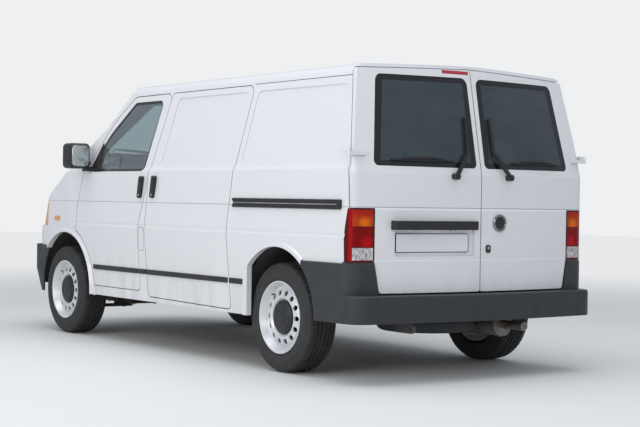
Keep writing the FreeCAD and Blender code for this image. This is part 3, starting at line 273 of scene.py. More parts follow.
def lamp_lens(name):
    """Tail lamp: red strip, amber, red and clear fields with fine ribs, and a clear head lamp."""
    s = Shader(name)
    x, y, z = s.split()
    side = s.size(y)
    bottom, clear_top, amber_bottom, top = 0.705, 0.7785, 0.894, 0.9915
    field = s.ramp(side, 0.8885, 0.886)
    amber = s.times(s.band(z, amber_bottom, top, 0.0025), field)
    clear = s.times(s.band(z, bottom, clear_top, 0.0025), field)
    amber_glow = s.ramp(s.reach(side, z, 0.815, 0.913), 0.012, 0.05)
    warm = s.mix(amber_glow, (0.84, 0.17, 0.006), (0.52, 0.06, 0.006))
    warm = s.mix(s.ramp(z, 0.935, 0.975), warm, (0.44, 0.02, 0.006))
    red_glow = s.ramp(s.reach(side, z, 0.8, 0.806), 0.01, 0.055)
    deep = s.mix(red_glow, (0.52, 0.002, 0.006), (0.24, 0.0012, 0.003))
    rear = s.mix(amber, s.mix(field, (0.44, 0.002, 0.004), deep), warm)
    glint = s.ramp(s.noise(70, 3, 0.6, s.mapped((0.4, 1.6, 0.5))), 0.38, 0.62)
    rear = s.mix(clear, rear, s.mix(glint, (0.34, 0.31, 0.32), (0.78, 0.75, 0.76)))
    lines = [s.ramp(s.size(s.math("SUBTRACT", z, line)), 0.0032, 0.002)
             for line in (amber_bottom + 0.0005, clear_top - 0.001)]
    lines = s.most(s.times(s.most(*lines), field), s.ramp(x, -2.158, -2.146))
    rear = s.mix(s.times(lines, 0.85), rear, (0.045, 0.002, 0.003))
    front = s.ramp(x, 0.0, 0.01)
    turn_lamp = s.ramp(x, 2.012, 1.998)
    head = s.mix(turn_lamp, (0.72, 0.74, 0.75), (0.8, 0.36, 0.06))
    inner, outer, low, high = 0.7585, 1.2, 0.6985, 0.9935
    rim = inside(s, side, z, [(inner, low), (inner, high), (outer, high), (outer, low)])
    rim = s.times(s.ramp(rim, 0.0008, -0.0008), s.ramp(x, 0.0, -0.01))
    open_front = s.times(front, s.ramp(turn_lamp, 0.2, 0.8, 1.0, 0.0))
    s.set(Base_Color=s.mix(rim, s.mix(front, rear, head), (0.01, 0.01, 0.011)),
          Roughness=s.ramp(s.noise(30, 3), 0.3, 0.7, 0.05, 0.12),
          Coat_Weight=s.ramp(front, 0, 1, 0.06, 0.4), Coat_Roughness=0.04,
          IOR=s.ramp(front, 0, 1, 1.24, 1.45), Transmission_Weight=s.ramp(open_front, 0, 1, 0.15, 0.92))
    upright_ribs = s.wave(52, s.mapped((0, 1, 0)), 0, "Y")
    level_ribs = s.wave(40, s.mapped((0, 0, 1)), 0, "Z")
    s.bump(s.math("ADD", upright_ribs, level_ribs), 0.22, 0.001)
    return s.material


def cloth(name, dark, light):
    s = Shader(name)
    warp = s.wave(260, s.mapped((1, 1, 0)), 0.6, "DIAGONAL")
    weave = s.times(warp, s.wave(260, s.mapped((0, 0, 1)), 0.6, "Z"))
    s.set(Base_Color=s.mix(weave, dark, light), Roughness=s.ramp(weave, 0, 1, 0.95, 0.8), Sheen_Weight=0.3)
    s.bump(weave, 0.4, 0.001)
    return s.material


def steel(name, dark, light, metal, rough, grain):
    s = Shader(name)
    s.set(Base_Color=s.mix(s.ramp(s.noise(9, 6, 0.65), 0.35, 0.65), dark, light), Metallic=metal,
          Roughness=s.ramp(s.noise(22, 4), 0.3, 0.7, rough - 0.1, rough + 0.1))
    s.bump(s.noise(grain, 4, 0.6), 0.2, 0.001)
    return s.material


def rubber(name, dark, light, rough=0.75):
    s = Shader(name)
    dust = s.ramp(s.noise(18, 5, 0.65), 0.35, 0.7)
    s.set(Base_Color=s.mix(dust, dark, light), Roughness=s.ramp(dust, 0, 1, rough - 0.1, rough + 0.1))
    s.bump(s.noise(700, 2), 0.15, 0.0005)
    return s.material


def wheel_paint(name):
    """Silver wheels with black hub caps."""
    s = Shader(name)
    x, y, z = s.split()
    along = s.math("MINIMUM", *[s.size(s.math("SUBTRACT", x, axle)) for axle in (front_axle_x, rear_axle_x)])
    cap = s.times(s.ramp(s.reach(along, z, 0.0, axle_z), 0.104, 0.103), s.ramp(s.size(y), 0.838, 0.84))
    film = s.times(s.ramp(s.noise(18, 5, 0.6), 0.35, 0.75), s.ramp(s.crevice(0.02), 0.9, 0.4))
    silver = s.mix(film, (0.7, 0.71, 0.73), (0.26, 0.245, 0.23))
    s.set(Base_Color=s.mix(cap, silver, (0.012, 0.012, 0.013)), Metallic=s.ramp(cap, 0, 1, 0.45, 0.0),
          Roughness=s.ramp(cap, 0, 1, 0.36, 0.42))
    s.bump(s.noise(300, 3, 0.6), 0.08, 0.0006)
    return s.material


def boards_material(name):
    """Brown film-faced load floor boards."""
    s = Shader(name)
    grain = s.noise(5, 6, 0.6, s.mapped((0.15, 4, 4)))
    wear = s.times(s.ramp(s.noise(7, 6, 0.7), 0.45, 0.75), 0.35)
    base = s.mix(grain, (0.1, 0.06, 0.036), (0.19, 0.125, 0.078))
    s.set(Base_Color=s.mix(wear, base, (0.27, 0.23, 0.19)), Roughness=0.6)
    s.bump(s.cells(90), 0.25, 0.001)
    return s.material


def ribbed(name):
    s = Shader(name)
    s.set(Base_Color=s.mix(s.noise(9, 5), (0.016, 0.016, 0.016), (0.032, 0.031, 0.03)), Roughness=0.75)
    s.bump(s.wave(38, s.mapped((0, 1, 0)), 0, "Y"), 0.7, 0.002)
    return s.material


def floor_coat(name):
    """Dark underbody coat; dusty body paint on the engine bay's and the load space's side of the panels."""
    s = Shader(name)
    x, y, z = s.split()
    side = s.size(y)
    coat = s.mix(s.noise(90, 4, 0.6), *coat_tones)
    dusty = s.mix(s.ramp(s.noise(11, 5, 0.65), 0.35, 0.75), (0.5, 0.51, 0.52), (0.3, 0.29, 0.27))
    bay = s.most(s.ramp(side, 0.4565, 0.4555), s.ramp(z, 1.0085, 1.0095))
    bay = s.times(bay, s.ramp(x, 1.2755, 1.2765), s.ramp(z, 0.5005, 0.5035))
    load = s.most(s.ramp(side, 0.5765, 0.5755), s.ramp(s.reach(x, z, *rear_house), 0.447, 0.448))
    load = s.times(load, s.ramp(x, 0.0285, 0.0275), s.ramp(z, 0.5605, 0.5615))
    painted = s.most(bay, load)
    s.set(Base_Color=s.mix(painted, coat, dusty), Roughness=s.ramp(painted, 0, 1, 0.8, 0.45), IOR=1.45)
    s.bump(s.noise(200, 3), 0.06, 0.0006)
    return s.material


def underfloor(name):
    """Tank, exhaust and spare wheel by their places: black moulding, stained steel and rubber."""
    s = Shader(name)
    x, y = s.split()[:2]
    pipe = s.mix(s.ramp(s.noise(14, 5, 0.65), 0.4, 0.68), (0.22, 0.21, 0.2), (0.13, 0.07, 0.04))
    tank = s.mix(s.noise(6, 4, 0.6), (0.02, 0.02, 0.021), (0.034, 0.033, 0.031))
    tread = s.mix(s.noise(60, 3), (0.026, 0.026, 0.027), (0.04, 0.039, 0.038))
    is_pipe = s.ramp(y, -0.2525, -0.2545)
    is_spare = s.ramp(x, -1.4, -1.45)
    s.set(Base_Color=s.mix(is_pipe, s.mix(is_spare, tank, tread), pipe),
          Metallic=s.ramp(is_pipe, 0, 1, 0.0, 0.65), Roughness=s.ramp(is_pipe, 0, 1, 0.75, 0.5))
    s.bump(s.noise(150, 3), 0.1, 0.0008)
    return s.material


def lamp_trim(name):
    """Black trim with the red high brake lamp at the top."""
    s = Shader(name)
    lit = s.ramp(s.split()[2], 1.77, 1.775)
    trim = s.mix(s.noise(6, 5), *trim_tones)
    s.set(Base_Color=s.mix(lit, trim, (0.42, 0.008, 0.03)), Roughness=s.ramp(lit, 0, 1, 0.45, 0.12),
          Coat_Weight=s.ramp(lit, 0, 1, 0.0, 0.8))
    s.bump(s.noise(1100, 3, 0.6), 0.15, 0.0006)
    return s.material


body_white = (0.76, 0.758, 0.777)

# Lines drawn in the paint: painted shade along the side groove and painted highlights along the rear ridges;
# low edge, high edge and strength.
side_groove_shade = (1.003, 1.0082, 0.45)
rear_ridge_highlights = [(0.699, 0.707, 0.8), (0.9915, 1.002, 0.7)]
white = paint("body_paint_fine", body_white)
white_sides = paint("body_paint_sides", body_white, 0.35, True, [side_groove_shade])
white_doors = paint("body_paint_doors", body_white, 0.3, False, [side_groove_shade])
white_rear = paint("body_paint_rear", body_white, 0.3, False, [side_groove_shade], rear_ridge_highlights)
plate_white = paint("plate_white", (0.74, 0.75, 0.78), 0.0)
bumper = moulded("bumper_grain", (0.019, 0.0215, 0.0255), (0.027, 0.03, 0.035), 900, 0.52, 0.08)
black = moulded("black_trim_grain", *trim_tones, 1200, 0.45, 0.1)
cabin = moulded("cabin_grain", (0.04, 0.041, 0.044), (0.06, 0.06, 0.064), 700, 0.65, 0.1)
plastic_tank = moulded("fluid_bottle", (0.52, 0.53, 0.5), (0.62, 0.63, 0.6), 300, 0.4, 0.1)
seal = rubber("seal_rubber", (0.01, 0.01, 0.011), (0.02, 0.02, 0.021), 0.55)
tyre_black = rubber("tyre_black", (0.018, 0.018, 0.019), (0.042, 0.041, 0.04))
ribbed_rubber = ribbed("mat_ribs")
rim_silver = wheel_paint("rim_silver_paint")
bright = steel("bright_metal", (0.62, 0.62, 0.63), (0.72, 0.72, 0.73), 0.95, 0.22, 400)
dull = steel("dull_zinc", (0.3, 0.3, 0.31), (0.42, 0.42, 0.43), 0.85, 0.45, 260)
mirror_face = steel("mirror_silver", (0.86, 0.87, 0.88), (0.88, 0.89, 0.9), 1.0, 0.11, 20)
under = steel("underbody_coat", *coat_tones, 0.0, 0.8, 90)
chassis_steel = steel("chassis_dull", (0.055, 0.052, 0.05), (0.11, 0.095, 0.08), 0.5, 0.65, 120)
cast = steel("cast_grain", (0.15, 0.15, 0.15), (0.27, 0.26, 0.25), 0.6, 0.55, 80)
hanging = underfloor("underfloor_mix")
bay_and_floor = floor_coat("floor_and_bay")
ply = boards_material("load_boards")
seat_cloth = cloth("seat_weave", (0.03, 0.034, 0.042), (0.085, 0.092, 0.105))
lens = lamp_lens("lamp_fields")
lamp_clear = glazing("lamp_clear", (0.85, 0.86, 0.88), 0.5, lambda s: 0.0)

# Clear field of each window, in height and in y at the rear and the screen or x at the cab doors.
rear_field = [(0.072, 1.274), (0.072, 1.743), (0.64, 1.738), (0.709, 1.274)]
cab_field = [(0.27, 1.24), (0.139, 1.692), (0.523, 1.692), (0.842, 1.47), (1.045, 1.24)]
screen_field = [(-0.2, 1.375), (-0.2, 1.738), (0.532, 1.722), (0.655, 1.375)]
rear_glass = glazing("rear_glass_tint", (0.06, 0.088, 0.105), 0.5, print_outside(rear_field, 0.012))
cab_glass = glazing("cab_glass_tint", (0.5, 0.6, 0.63), 0.9, print_outside(cab_field, 0.02, True))
screen_glass = glazing("screen_tint", (0.6, 0.7, 0.72), 0.93, print_outside(screen_field, 0.02))

# The materials of each slot; the first one dresses the construction's nodes.
finishes = {
    "body_paint": (white, plate_white, plastic_tank),
    "bumper_plastic": (bumper,),
    "black_trim": (black, seal),
    "cabin_plastic": (cabin, ply),
    "tyre": (tyre_black, ribbed_rubber),
    "rim_silver": (rim_silver, bright, dull, mirror_face),
    "underbody": (under,),
    "chassis_steel": (chassis_steel, hanging),
    "cast_parts": (cast,),
    "seat_cloth": (seat_cloth,),
    "lamp_lens": (lens, lamp_clear),
    "glass": (cab_glass,),
}
node_slot = {entry["node"]: entry["material_slot"] for entry in frame["record"]["subparts"]}
special = {
    "windscreen": screen_glass, "underfloor_parts": hanging, "floor_pan": bay_and_floor,
    "rear_fittings_left": lamp_trim("rear_trim_and_lamp"), "sliding_door": white_doors, "wings": white_doors,
}
for tag, way in both_sides:
    special["rear_glass_" + tag] = rear_glass
    special["side_" + tag] = white_sides
    special["cab_door_" + tag] = white_doors
    special["rear_door_" + tag] = white_rear


def dress(obj, material):
    """Give an object one material."""
    obj.data.materials.clear()
    obj.data.materials.append(material)
    for polygon in obj.data.polygons:
        polygon.material_index = 0


for name, obj in nodes.items():
    dress(obj, special.get(name) or finishes[node_slot[name]][0])


# Mesh builders: each shape is a list of corners and a list of faces.

# Edges that turn by more than this, in radians, stay crisp.
crease_angle = 0.61


def piece(name, shapes, material, body="chassis", smooth=True):
    """One object from several shapes, riding on a body."""
    vertices, faces = [], []
    for corners, polygons in shapes:
        base = len(vertices)
        vertices += [tuple(corner) for corner in corners]
        faces += [tuple(i + base for i in polygon) for polygon in polygons]
    mesh = bpy.data.meshes.new(name)
    mesh.from_pydata(vertices, [], faces)
    mesh.validate()
    bm = bmesh.new()
    bm.from_mesh(mesh)
    bmesh.ops.recalc_face_normals(bm, faces=bm.faces)
    for edge in bm.edges:
        if len(edge.link_faces) == 2 and edge.calc_face_angle() > crease_angle:
            edge.smooth = False
    for face in bm.faces:
        face.smooth = smooth
    bm.to_mesh(mesh)
    bm.free()
    obj = bpy.data.objects.new(name, mesh)
    bpy.context.scene.collection.objects.link(obj)
    dress(obj, material)
    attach(obj, body)
    return obj


def quads(rings, count, closed=False):
    """Faces between neighbouring rings of count corners each."""
    faces = []
    for k in range(rings if closed else rings - 1):
        n = (k + 1) % rings
        for i in range(count):
            j = (i + 1) % count
            faces.append((k * count + i, k * count + j, n * count + j, n * count + i))
    return faces


def swept(sections, caps=True):
    """Skin over a row of rings."""
    count = len(sections[0])
    faces = quads(len(sections), count)
    if caps:
        faces.append(tuple(range(count))[::-1])
        faces.append(tuple((len(sections) - 1) * count + i for i in range(count)))
    return [corner for section in sections for corner in section], faces


def circle(centre, radius, steps, way_a=X, way_b=Y, turn=0.0):
    """Points round a centre in the plane of two directions; turn is a share of one step."""
    angles = [2 * math.pi * (k + turn) / steps for k in range(steps)]
    return [Vector(centre) + way_a * radius * math.cos(t) + way_b * radius * math.sin(t) for t in angles]


def from_bmesh(bm, centre):
    """Corners and faces of a bmesh, moved to a centre; the bmesh is freed."""
    bm.verts.index_update()
    corners = [vertex.co + centre for vertex in bm.verts]
    faces = [tuple(vertex.index for vertex in face.verts) for face in bm.faces]
    bm.free()
    return corners, faces


def box(start, end, radius, turn=None, steps=3):
    """Box with rounded edges between two corners; turn is a matrix set about its centre."""
    half = [abs(b - a) / 2 for a, b in zip(start, end)]
    bm = bmesh.new()
    bmesh.ops.create_cube(bm, size=2)
    for vertex in bm.verts:
        vertex.co = [part * h for part, h in zip(vertex.co, half)]
    bmesh.ops.bevel(bm, geom=list(bm.edges), offset=min(radius, min(half) * 0.98), segments=steps,
                    affect="EDGES", profile=0.5)
    if turn is not None:
        bmesh.ops.transform(bm, matrix=turn, verts=bm.verts)
    return from_bmesh(bm, Vector([(a + b) / 2 for a, b in zip(start, end)]))


def tube(points, radius, count=10):
    """Round bar through the points; radius is one value, or a list with one for each point."""
    points = [Vector(p) for p in points]
    tilted = Vector((0.13, 0.21, 1)).normalized()
    sections = []
    for k, place in enumerate(points):
        ahead = (points[min(k + 1, len(points) - 1)] - points[max(k - 1, 0)]).normalized()
        side = ahead.cross(tilted).normalized()
        bar = radius[k] if isinstance(radius, list) else radius
        sections.append(circle(place, bar, count, side, ahead.cross(side)))
    return swept(sections)


def looped(points, radius, count=8):
    """Round bar along a closed flat line."""
    steps = len(points)
    normal = (points[steps // 3] - points[0]).cross(points[2 * steps // 3] - points[0]).normalized()
    corners = []
    for k, place in enumerate(points):
        ahead = (points[(k + 1) % steps] - points[k - 1]).normalized()
        corners += circle(place, radius, count, ahead.cross(normal).normalized(), normal)
    return corners, quads(steps, count, True)


def ring(centre, radius, bar, steps, way_a, way_b, count=8):
    """Round bar bent to a circle."""
    return looped(circle(centre, radius, steps, way_a, way_b), bar, count)


def ribbon(points, width_way, width, thick_way, thick):
    """Flat bar along the points."""
    w, t = Vector(width_way) * width / 2, Vector(thick_way) * thick / 2
    return swept([[p - w - t, p + w - t, p + w + t, p - w + t] for p in map(Vector, points)])


def disc(centre, radius, thick, way, count=32, dome=0.0):
    """Round plate with a small edge radius, set along way."""
    way = Vector(way).normalized()
    side = way.orthogonal().normalized()
    edge = min(thick, radius) * 0.3
    rings = [(radius, 0.0), (radius, thick - edge), (radius - edge, thick),
             (radius * 0.5, thick + dome * 0.75), (radius * 0.08, thick + dome)]
    return swept([circle(Vector(centre) + way * h, r, count, side, way.cross(side)) for r, h in rings])


def hex_bolt(centre, radius, way):
    """Washer and hexagonal head."""
    head = disc(Vector(centre) + way * 0.0015, radius, radius * 0.75, way, 6)
    return [disc(centre, radius * 1.35, 0.0018, way, 24), head]


def rounded_loop(centre, half_a, half_z, radius, way_a):
    """Points of an upright rounded rectangle along a level direction."""
    steps = 6
    points = []
    for sign_a, sign_z, quarter in ((1, 1, 0), (-1, 1, 1), (-1, -1, 2), (1, -1, 3)):
        for k in range(steps + 1):
            t = (quarter + k / steps) * math.pi / 2
            points.append(Vector(centre) + way_a * (sign_a * (half_a - radius) + radius * math.cos(t))
                          + Z * (sign_z * (half_z - radius) + radius * math.sin(t)))
    return points


def sheet(centre, half_a, half_z, radius, way_a, way_out, thick, bevel=0.0012):
    """Upright flat sheet with rounded corners and a small edge radius."""
    sections = []
    for height, inset in ((0.0, 0.0), (thick - bevel, 0.0), (thick, bevel)):
        place, corner = Vector(centre) + way_out * height, max(radius - inset, 0.0005)
        sections.append(rounded_loop(place, half_a - inset, half_z - inset, corner, way_a))
    return swept(sections)


def coil(centre, radius, low, high, turns, bar):
    """Round bar wound as an upright spring with closed ends."""
    steps = turns * 20
    points = []
    for k in range(steps + 1):
        share = k / steps
        t = 2 * math.pi * turns * share
        rise = min(max((share * turns - 0.6) / (turns - 1.2), 0.0), 1.0)
        z = low + (high - low) * rise
        points.append((centre[0] + radius * math.cos(t), centre[1] + radius * math.sin(t), z))
    return tube(points, bar, 8)


def hat_section(places, inward, depth):
    """Strip with folded edges that stands on a panel along the places; its width runs along x."""
    foot_half, crown_half, lift = X * 0.026, X * 0.016, inward * 0.0004
    return swept([[p + lift - foot_half, p + inward * depth - crown_half,
                   p + inward * depth + crown_half, p + lift + foot_half] for p in places])


# Places on the construction's surfaces.

surface_trees = {}


def hit(node, start, way):
    """Point where a line from start meets the named node, in the frame."""
    if node not in surface_trees:
        obj = nodes[node]
        corners = [obj.matrix_world @ vertex.co for vertex in obj.data.vertices]
        polygons = [tuple(polygon.vertices) for polygon in obj.data.polygons]
        surface_trees[node] = BVHTree.FromPolygons(corners, polygons)
    place = surface_trees[node].ray_cast(Vector(start), way)[0]
    if place is None:
        raise RuntimeError("no surface of %s at %s" % (node, tuple(start)))
    return place


def hits(node, start, end, way, steps):
    """Points on the named node for evenly spaced lines between two starts."""
    return [hit(node, Vector(start).lerp(Vector(end), k / steps), way) for k in range(steps + 1)]


# Wheels: tyres with a road tread, valves and a plain raised double ring on each hub cap.

def road_tyre(centre):
    """Tread with grooves all round and cross cuts, over a side wall with raised lines."""
    lugs = 64
    steps = lugs * 4
    outside, groove_floor = 0.3315, 0.3235
    shoulder, rib_start, rib_end = 0.0465, 0.018, 0.0375
    tread = [(outside, 0.0), (outside, 0.01), (groove_floor, 0.0112), (groove_floor, 0.0178),
             (outside, 0.019), (outside, 0.028), (0.3314, 0.037), (groove_floor, 0.0382),
             (groove_floor, 0.0458), (0.3312, 0.047), (0.3308, 0.058), (0.33, 0.066)]
    wall = [(0.3285, 0.0755), (0.3255, 0.0835), (0.3215, 0.0895), (0.3165, 0.093), (0.315, 0.0932),
            (0.311, 0.0958), (0.3095, 0.0955), (0.3, 0.1005), (0.29, 0.1038), (0.278, 0.1058),
            (0.27, 0.1066), (0.269, 0.1074), (0.264, 0.1074), (0.263, 0.1066), (0.254, 0.1058),
            (0.245, 0.104), (0.238, 0.1016), (0.234, 0.099), (0.2325, 0.0998), (0.2285, 0.1),
            (0.2265, 0.0975), (0.2225, 0.095), (0.2215, 0.094), (0.2215, 0.06)]
    half = tread + wall
    profile = [(radius, -side) for radius, side in half[:0:-1]] + half

    def cut(angle, radius, side):
        """Depth of the cross cuts at a place of the tread."""
        step = angle * lugs / (2 * math.pi)
        if abs(side) > shoulder and radius > 0.3205 and (step + (0.5 if side > 0 else 0)) % 1.0 < 0.25:
            return 0.0055 if radius > groove_floor else 0.003
        if rib_start < abs(side) < rib_end and radius > 0.33 and (step + 0.25 + side * 9) % 1.0 < 0.25:
            return 0.004
        return 0.0

    corners = []
    for k in range(steps):
        angle = 2 * math.pi * k / steps
        for radius, side in profile:
            r = radius - cut(angle, radius, side)
            corners.append((centre.x + r * math.cos(angle), centre.y + side, centre.z + r * math.sin(angle)))
    return corners, quads(steps, len(profile), True)


valve_reach = 0.168
for spot, (hub, way) in wheels.items():
    body = "wheel_" + spot
    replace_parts(piece("tyre_tread_" + spot, [road_tyre(hub)], tyre_black, body), "tyre_" + spot)
    angle = 0.9 if way > 0 else 2.1
    valve_x, valve_z = hub.x + valve_reach * math.cos(angle), axle_z + valve_reach * math.sin(angle)
    stem = [(valve_x, hub.y + way * (0.05 + 0.012 * k), valve_z) for k in range(4)]
    piece("valve_" + spot, [tube(stem, [0.0055, 0.0055, 0.0045, 0.004])], seal, body)
    rings = []
    for radius, bar in ((0.046, 0.0016), (0.088, 0.0012)):
        face = hit("rim_" + spot, (hub.x + radius, way * 1.5, axle_z), Y * -way).y
        rings.append(ring((hub.x, face, axle_z), radius, bar, 72, X, Z))
    piece("hub_cap_rings_" + spot, rings, black, body)


# Seats: soft pads on rigid bases.

def pad(name, lo, hi, radius, crown, lean=0.0, channels=(), pinch=0.012, face_axis=2):
    """A crowned pad in a box; lean turns it back about its lower rear edge.

    Channels are sewn lines: the axis they are counted along, the place, the half width and the depth.
    """
    centre = Vector([(a + b) / 2 for a, b in zip(lo, hi)])
    half = Vector([(b - a) / 2 for a, b in zip(lo, hi)])
    bm = bmesh.new()
    bmesh.ops.create_cube(bm, size=2)
    bmesh.ops.subdivide_edges(bm, edges=list(bm.edges), cuts=17, use_grid_fill=True)
    for vertex in bm.verts:
        unit = vertex.co.copy()
        core = Vector([max(-(h - radius), min(h - radius, c * h)) for c, h in zip(unit, half)])
        push = Vector([c * h for c, h in zip(unit, half)]) - core
        if push.length > 1e-9:
            push = push.normalized() * radius
        p = core + push
        on_face = abs(unit[face_axis]) > 0.3
        others = [i for i in range(3) if i != face_axis]
        share = (1 - unit[others[0]] ** 2) * (1 - unit[others[1]] ** 2)
        if on_face:
            p[face_axis] += math.copysign(crown, unit[face_axis]) * share
        for i, other in (others, others[::-1]):
            p[i] -= math.copysign(pinch, unit[i]) * (1 - unit[other] ** 2) * (abs(unit[i]) ** 4)
        for axis, place, width, depth in channels:
            gap = abs(p[axis] - place)
            if gap < width and on_face:
                p[face_axis] -= math.copysign(depth, unit[face_axis]) * (1 - gap / width) ** 0.6
        vertex.co = p
    if lean:
        pivot = Vector((-half.x, 0, -half.z))
        turn = Matrix.Translation(pivot) @ Matrix.Rotation(-lean, 4, "Y") @ Matrix.Translation(-pivot)
        bmesh.ops.transform(bm, matrix=turn, verts=bm.verts)
    obj = piece(name, [from_bmesh(bm, centre)], seat_cloth)
    sub = obj.modifiers.new("smooth", "SUBSURF")
    sub.levels = 1
    sub.render_levels = 1
    return obj


for tag, y0, y1, places in (("driver", 0.14, 0.64, 1), ("bench", -0.7, 0.1, 2)):
    width, middle = y1 - y0, (y0 + y1) / 2
    lines = [(1, -width / 2 + 0.09, 0.016, 0.014), (1, width / 2 - 0.09, 0.016, 0.014)]
    if places == 2:
        lines += [(1, 0.0, 0.018, 0.018), (1, -0.11, 0.014, 0.01), (1, 0.11, 0.014, 0.01)]
    cushion = pad("seat_cushion_" + tag, (0.225, y0, 0.688), (0.722, y1, 0.812), 0.045, 0.01,
                  channels=lines + [(0, 0.1, 0.016, 0.008)])
    if tag == "driver":
        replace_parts(cushion, "seats")
    pad("seat_back_" + tag, (0.145, y0 + 0.012, 0.8), (0.25, y1 - 0.012, 1.375), 0.042, 0.008, 0.125,
        lines + [(2, 0.13, 0.016, 0.008)], face_axis=0)
    for n in range(places):
        yc = middle if places == 1 else middle + (n - 0.5) * width / 2
        number = "%s_%d" % (tag, n + 1)
        pad("head_rest_" + number, (0.083, yc - 0.12, 1.405), (0.158, yc + 0.12, 1.555), 0.034, 0.006, 0.07,
            pinch=0.008, face_axis=0)
        rods = [tube([(0.1, yc + dy, 1.34), (0.11, yc + dy, 1.42)], 0.006, 12) for dy in (-0.055, 0.055)]
        piece("head_rest_rods_" + number, rods, rim_silver)
    base = [box((0.23, y0 + 0.045, 0.426), (0.67, y1 - 0.045, 0.7), 0.018),
            box((0.2, y0 + 0.03, 0.64), (0.69, y1 - 0.03, 0.705), 0.02)]
    piece("seat_base_" + tag, base, cabin)


# Rear face: plate, lamps, wipers, badge place and lock.

behind = -3.0
door = "rear_door_left"
plate_y, plate_z = 0.352, 0.803
plate_inner, plate_outer = [hit(door, (behind, plate_y + dy, plate_z), X) for dy in (-0.25, 0.25)]
plate_way = (plate_outer - plate_inner).normalized()
plate_out = Z.cross(plate_way)
plate_middle = (plate_inner + plate_outer) / 2 + plate_out * 0.0065
plate = sheet(plate_middle, 0.258, 0.053, 0.008, plate_way, plate_out, 0.004)
piece("plate_blank", [plate], plate_white, door)
plate_rim = rounded_loop(plate_middle + plate_out * 0.0036, 0.2575, 0.0525, 0.008, plate_way)
piece("plate_edge", [looped(plate_rim, 0.0021)], seal, door)
places = [plate_middle + plate_way * shift for shift in (-0.16, 0.16)]
screws = [disc(place + plate_out * 0.0035, 0.006, 0.0022, plate_out, 20, 0.001) for place in places]
piece("plate_screws", screws, plate_white, door)
spacers = [disc(place + plate_out * 0.001, 0.011, 0.01, -plate_out, 20) for place in places]
piece("plate_spacers", spacers, seal, door)
for tag, y in (("a", plate_y - 0.14), ("b", plate_y + 0.14)):
    shade = box((-2.258, y - 0.03, 0.8725), (-2.243, y + 0.03, 0.8795), 0.003)
    piece("plate_lamp_" + tag, [shade], lamp_clear, door)

wiper_z = 1.2745
for tag, way, y0, y1 in (("left", 1, 0.202, 0.644), ("right", -1, 0.258, 0.664)):
    door = "rear_door_" + tag
    steps = 18
    line = hits("rear_glass_" + tag, (behind, way * y0, wiper_z), (behind, way * y1, wiper_z), X, steps)
    edge = [place - X * 0.005 for place in line]
    spring = [place - X * 0.0085 + Z * 0.0035 for place in line]
    arch = []
    for k in range(3, steps - 2):
        rise = 0.006 + 0.012 * math.sin(math.pi * (k / steps - 0.12) / 0.76) ** 0.7
        arch.append(line[k] - X * (0.0095 + rise * 0.35) + Z * rise)
    middle = arch[len(arch) // 2]
    blade = [ribbon(edge, (1, 0, 0.1), 0.0085, Z, 0.0045), ribbon(spring, X, 0.006, Z, 0.0075),
             ribbon(arch, X, 0.0075, Z, 0.0085),
             box(middle - Vector((0.008, 0.022, 0.008)), middle + Vector((0.005, 0.022, 0.007)), 0.003)]
    for claw in (spring[2], spring[-3]):
        blade.append(box(claw - Vector((0.006, 0.01, 0.006)), claw + Vector((0.004, 0.01, 0.007)), 0.002))
    piece("window_wiper_blade_" + tag, blade, seal, door)
    boss = hit("rear_fittings_" + tag, (behind, way * 0.21, 1.19), X)
    piece("wiper_pivot_cap_" + tag, [disc(boss + X * 0.001, 0.0145, 0.004, -X, 28, 0.002)], seal, door)

door = "rear_door_right"
badge_y, badge_z = -0.147, 0.9205
badge_x = hit("rear_fittings_right", (behind, badge_y, badge_z), X).x - 0.0004
badge = [ring((badge_x, badge_y, badge_z), radius, bar, 64, Y, Z, 10)
         for radius, bar in ((0.0495, 0.0026), (0.0405, 0.0012))]
piece("badge_ring_blank", badge, bright, door)
lock_y, lock_z = -0.058, 0.772
lock_x = hit("rear_fittings_right", (behind, lock_y, lock_z), X).x
piece("lock_barrel", [disc((lock_x + 0.001, lock_y, lock_z), 0.0085, 0.0028, -X, 28)], bright, door)
key_slot = box((lock_x - 0.003, lock_y - 0.0012, lock_z - 0.0055),
               (lock_x - 0.001, lock_y + 0.0012, lock_z + 0.0055), 0.0004)
piece("lock_slot", [key_slot], seal, door)


# Side trim: mirror glass, handle buttons, key barrels and the slide rail's cap and track.

def handle_details(name, tag, node, body, way, button_x, lock_x, button_z):
    """Push button of a door handle and the key barrel below it."""
    sunk = Y * way * 0.001
    button = hit(node, (button_x, way * 1.2, button_z), Y * -way) - sunk
    piece(name + "_button" + tag, [disc(button, 0.0115, 0.0045, Y * way, 28, 0.001)], seal, body)
    lock = hit(node, (lock_x, way * 1.2, button_z - 0.11), Y * -way) - sunk
    piece(name + "_lock" + tag, [disc(lock, 0.008, 0.0025, Y * way, 24)], bright, body)


mirror_z = 1.337
for tag, way in both_sides:
    door = "cab_door_" + tag
    fittings = "door_fittings_" + tag
    centre = Vector((hit(fittings, (0.8, way * 1.003, mirror_z), X).x + 0.009, way * 1.005, mirror_z))
    piece("mirror_frame_" + tag, [sheet(centre, 0.0745, 0.0845, 0.034, Y, -X, 0.0125, 0.005)], black, door)
    glass = sheet(centre - X * 0.0105, 0.0655, 0.0755, 0.026, Y, -X, 0.003)
    piece("mirror_glass_" + tag, [glass], mirror_face, door)
    arm = box((1.06, way * 0.9, 1.272), (1.11, way * 0.945, 1.3), 0.009)
    piece("mirror_arm_brace_" + tag, [arm], black, door)
    handle_details("handle", "_" + tag, fittings, door, way, 0.247, 0.268, 1.166)
handle_details("slide_handle", "", "side_trim", "chassis", 1, 0.068, 0.088, 1.168)
piece("slide_rail_cap", [box((-2.0945, 0.92, 0.9915), (-2.058, 0.9285, 1.0445), 0.004)], seal)
piece("slide_rail_track", [box((-2.055, 0.9165, 1.0145), (-0.95, 0.9195, 1.0215), 0.001)], dull)


# Front: screen wipers and head lamp bowls.

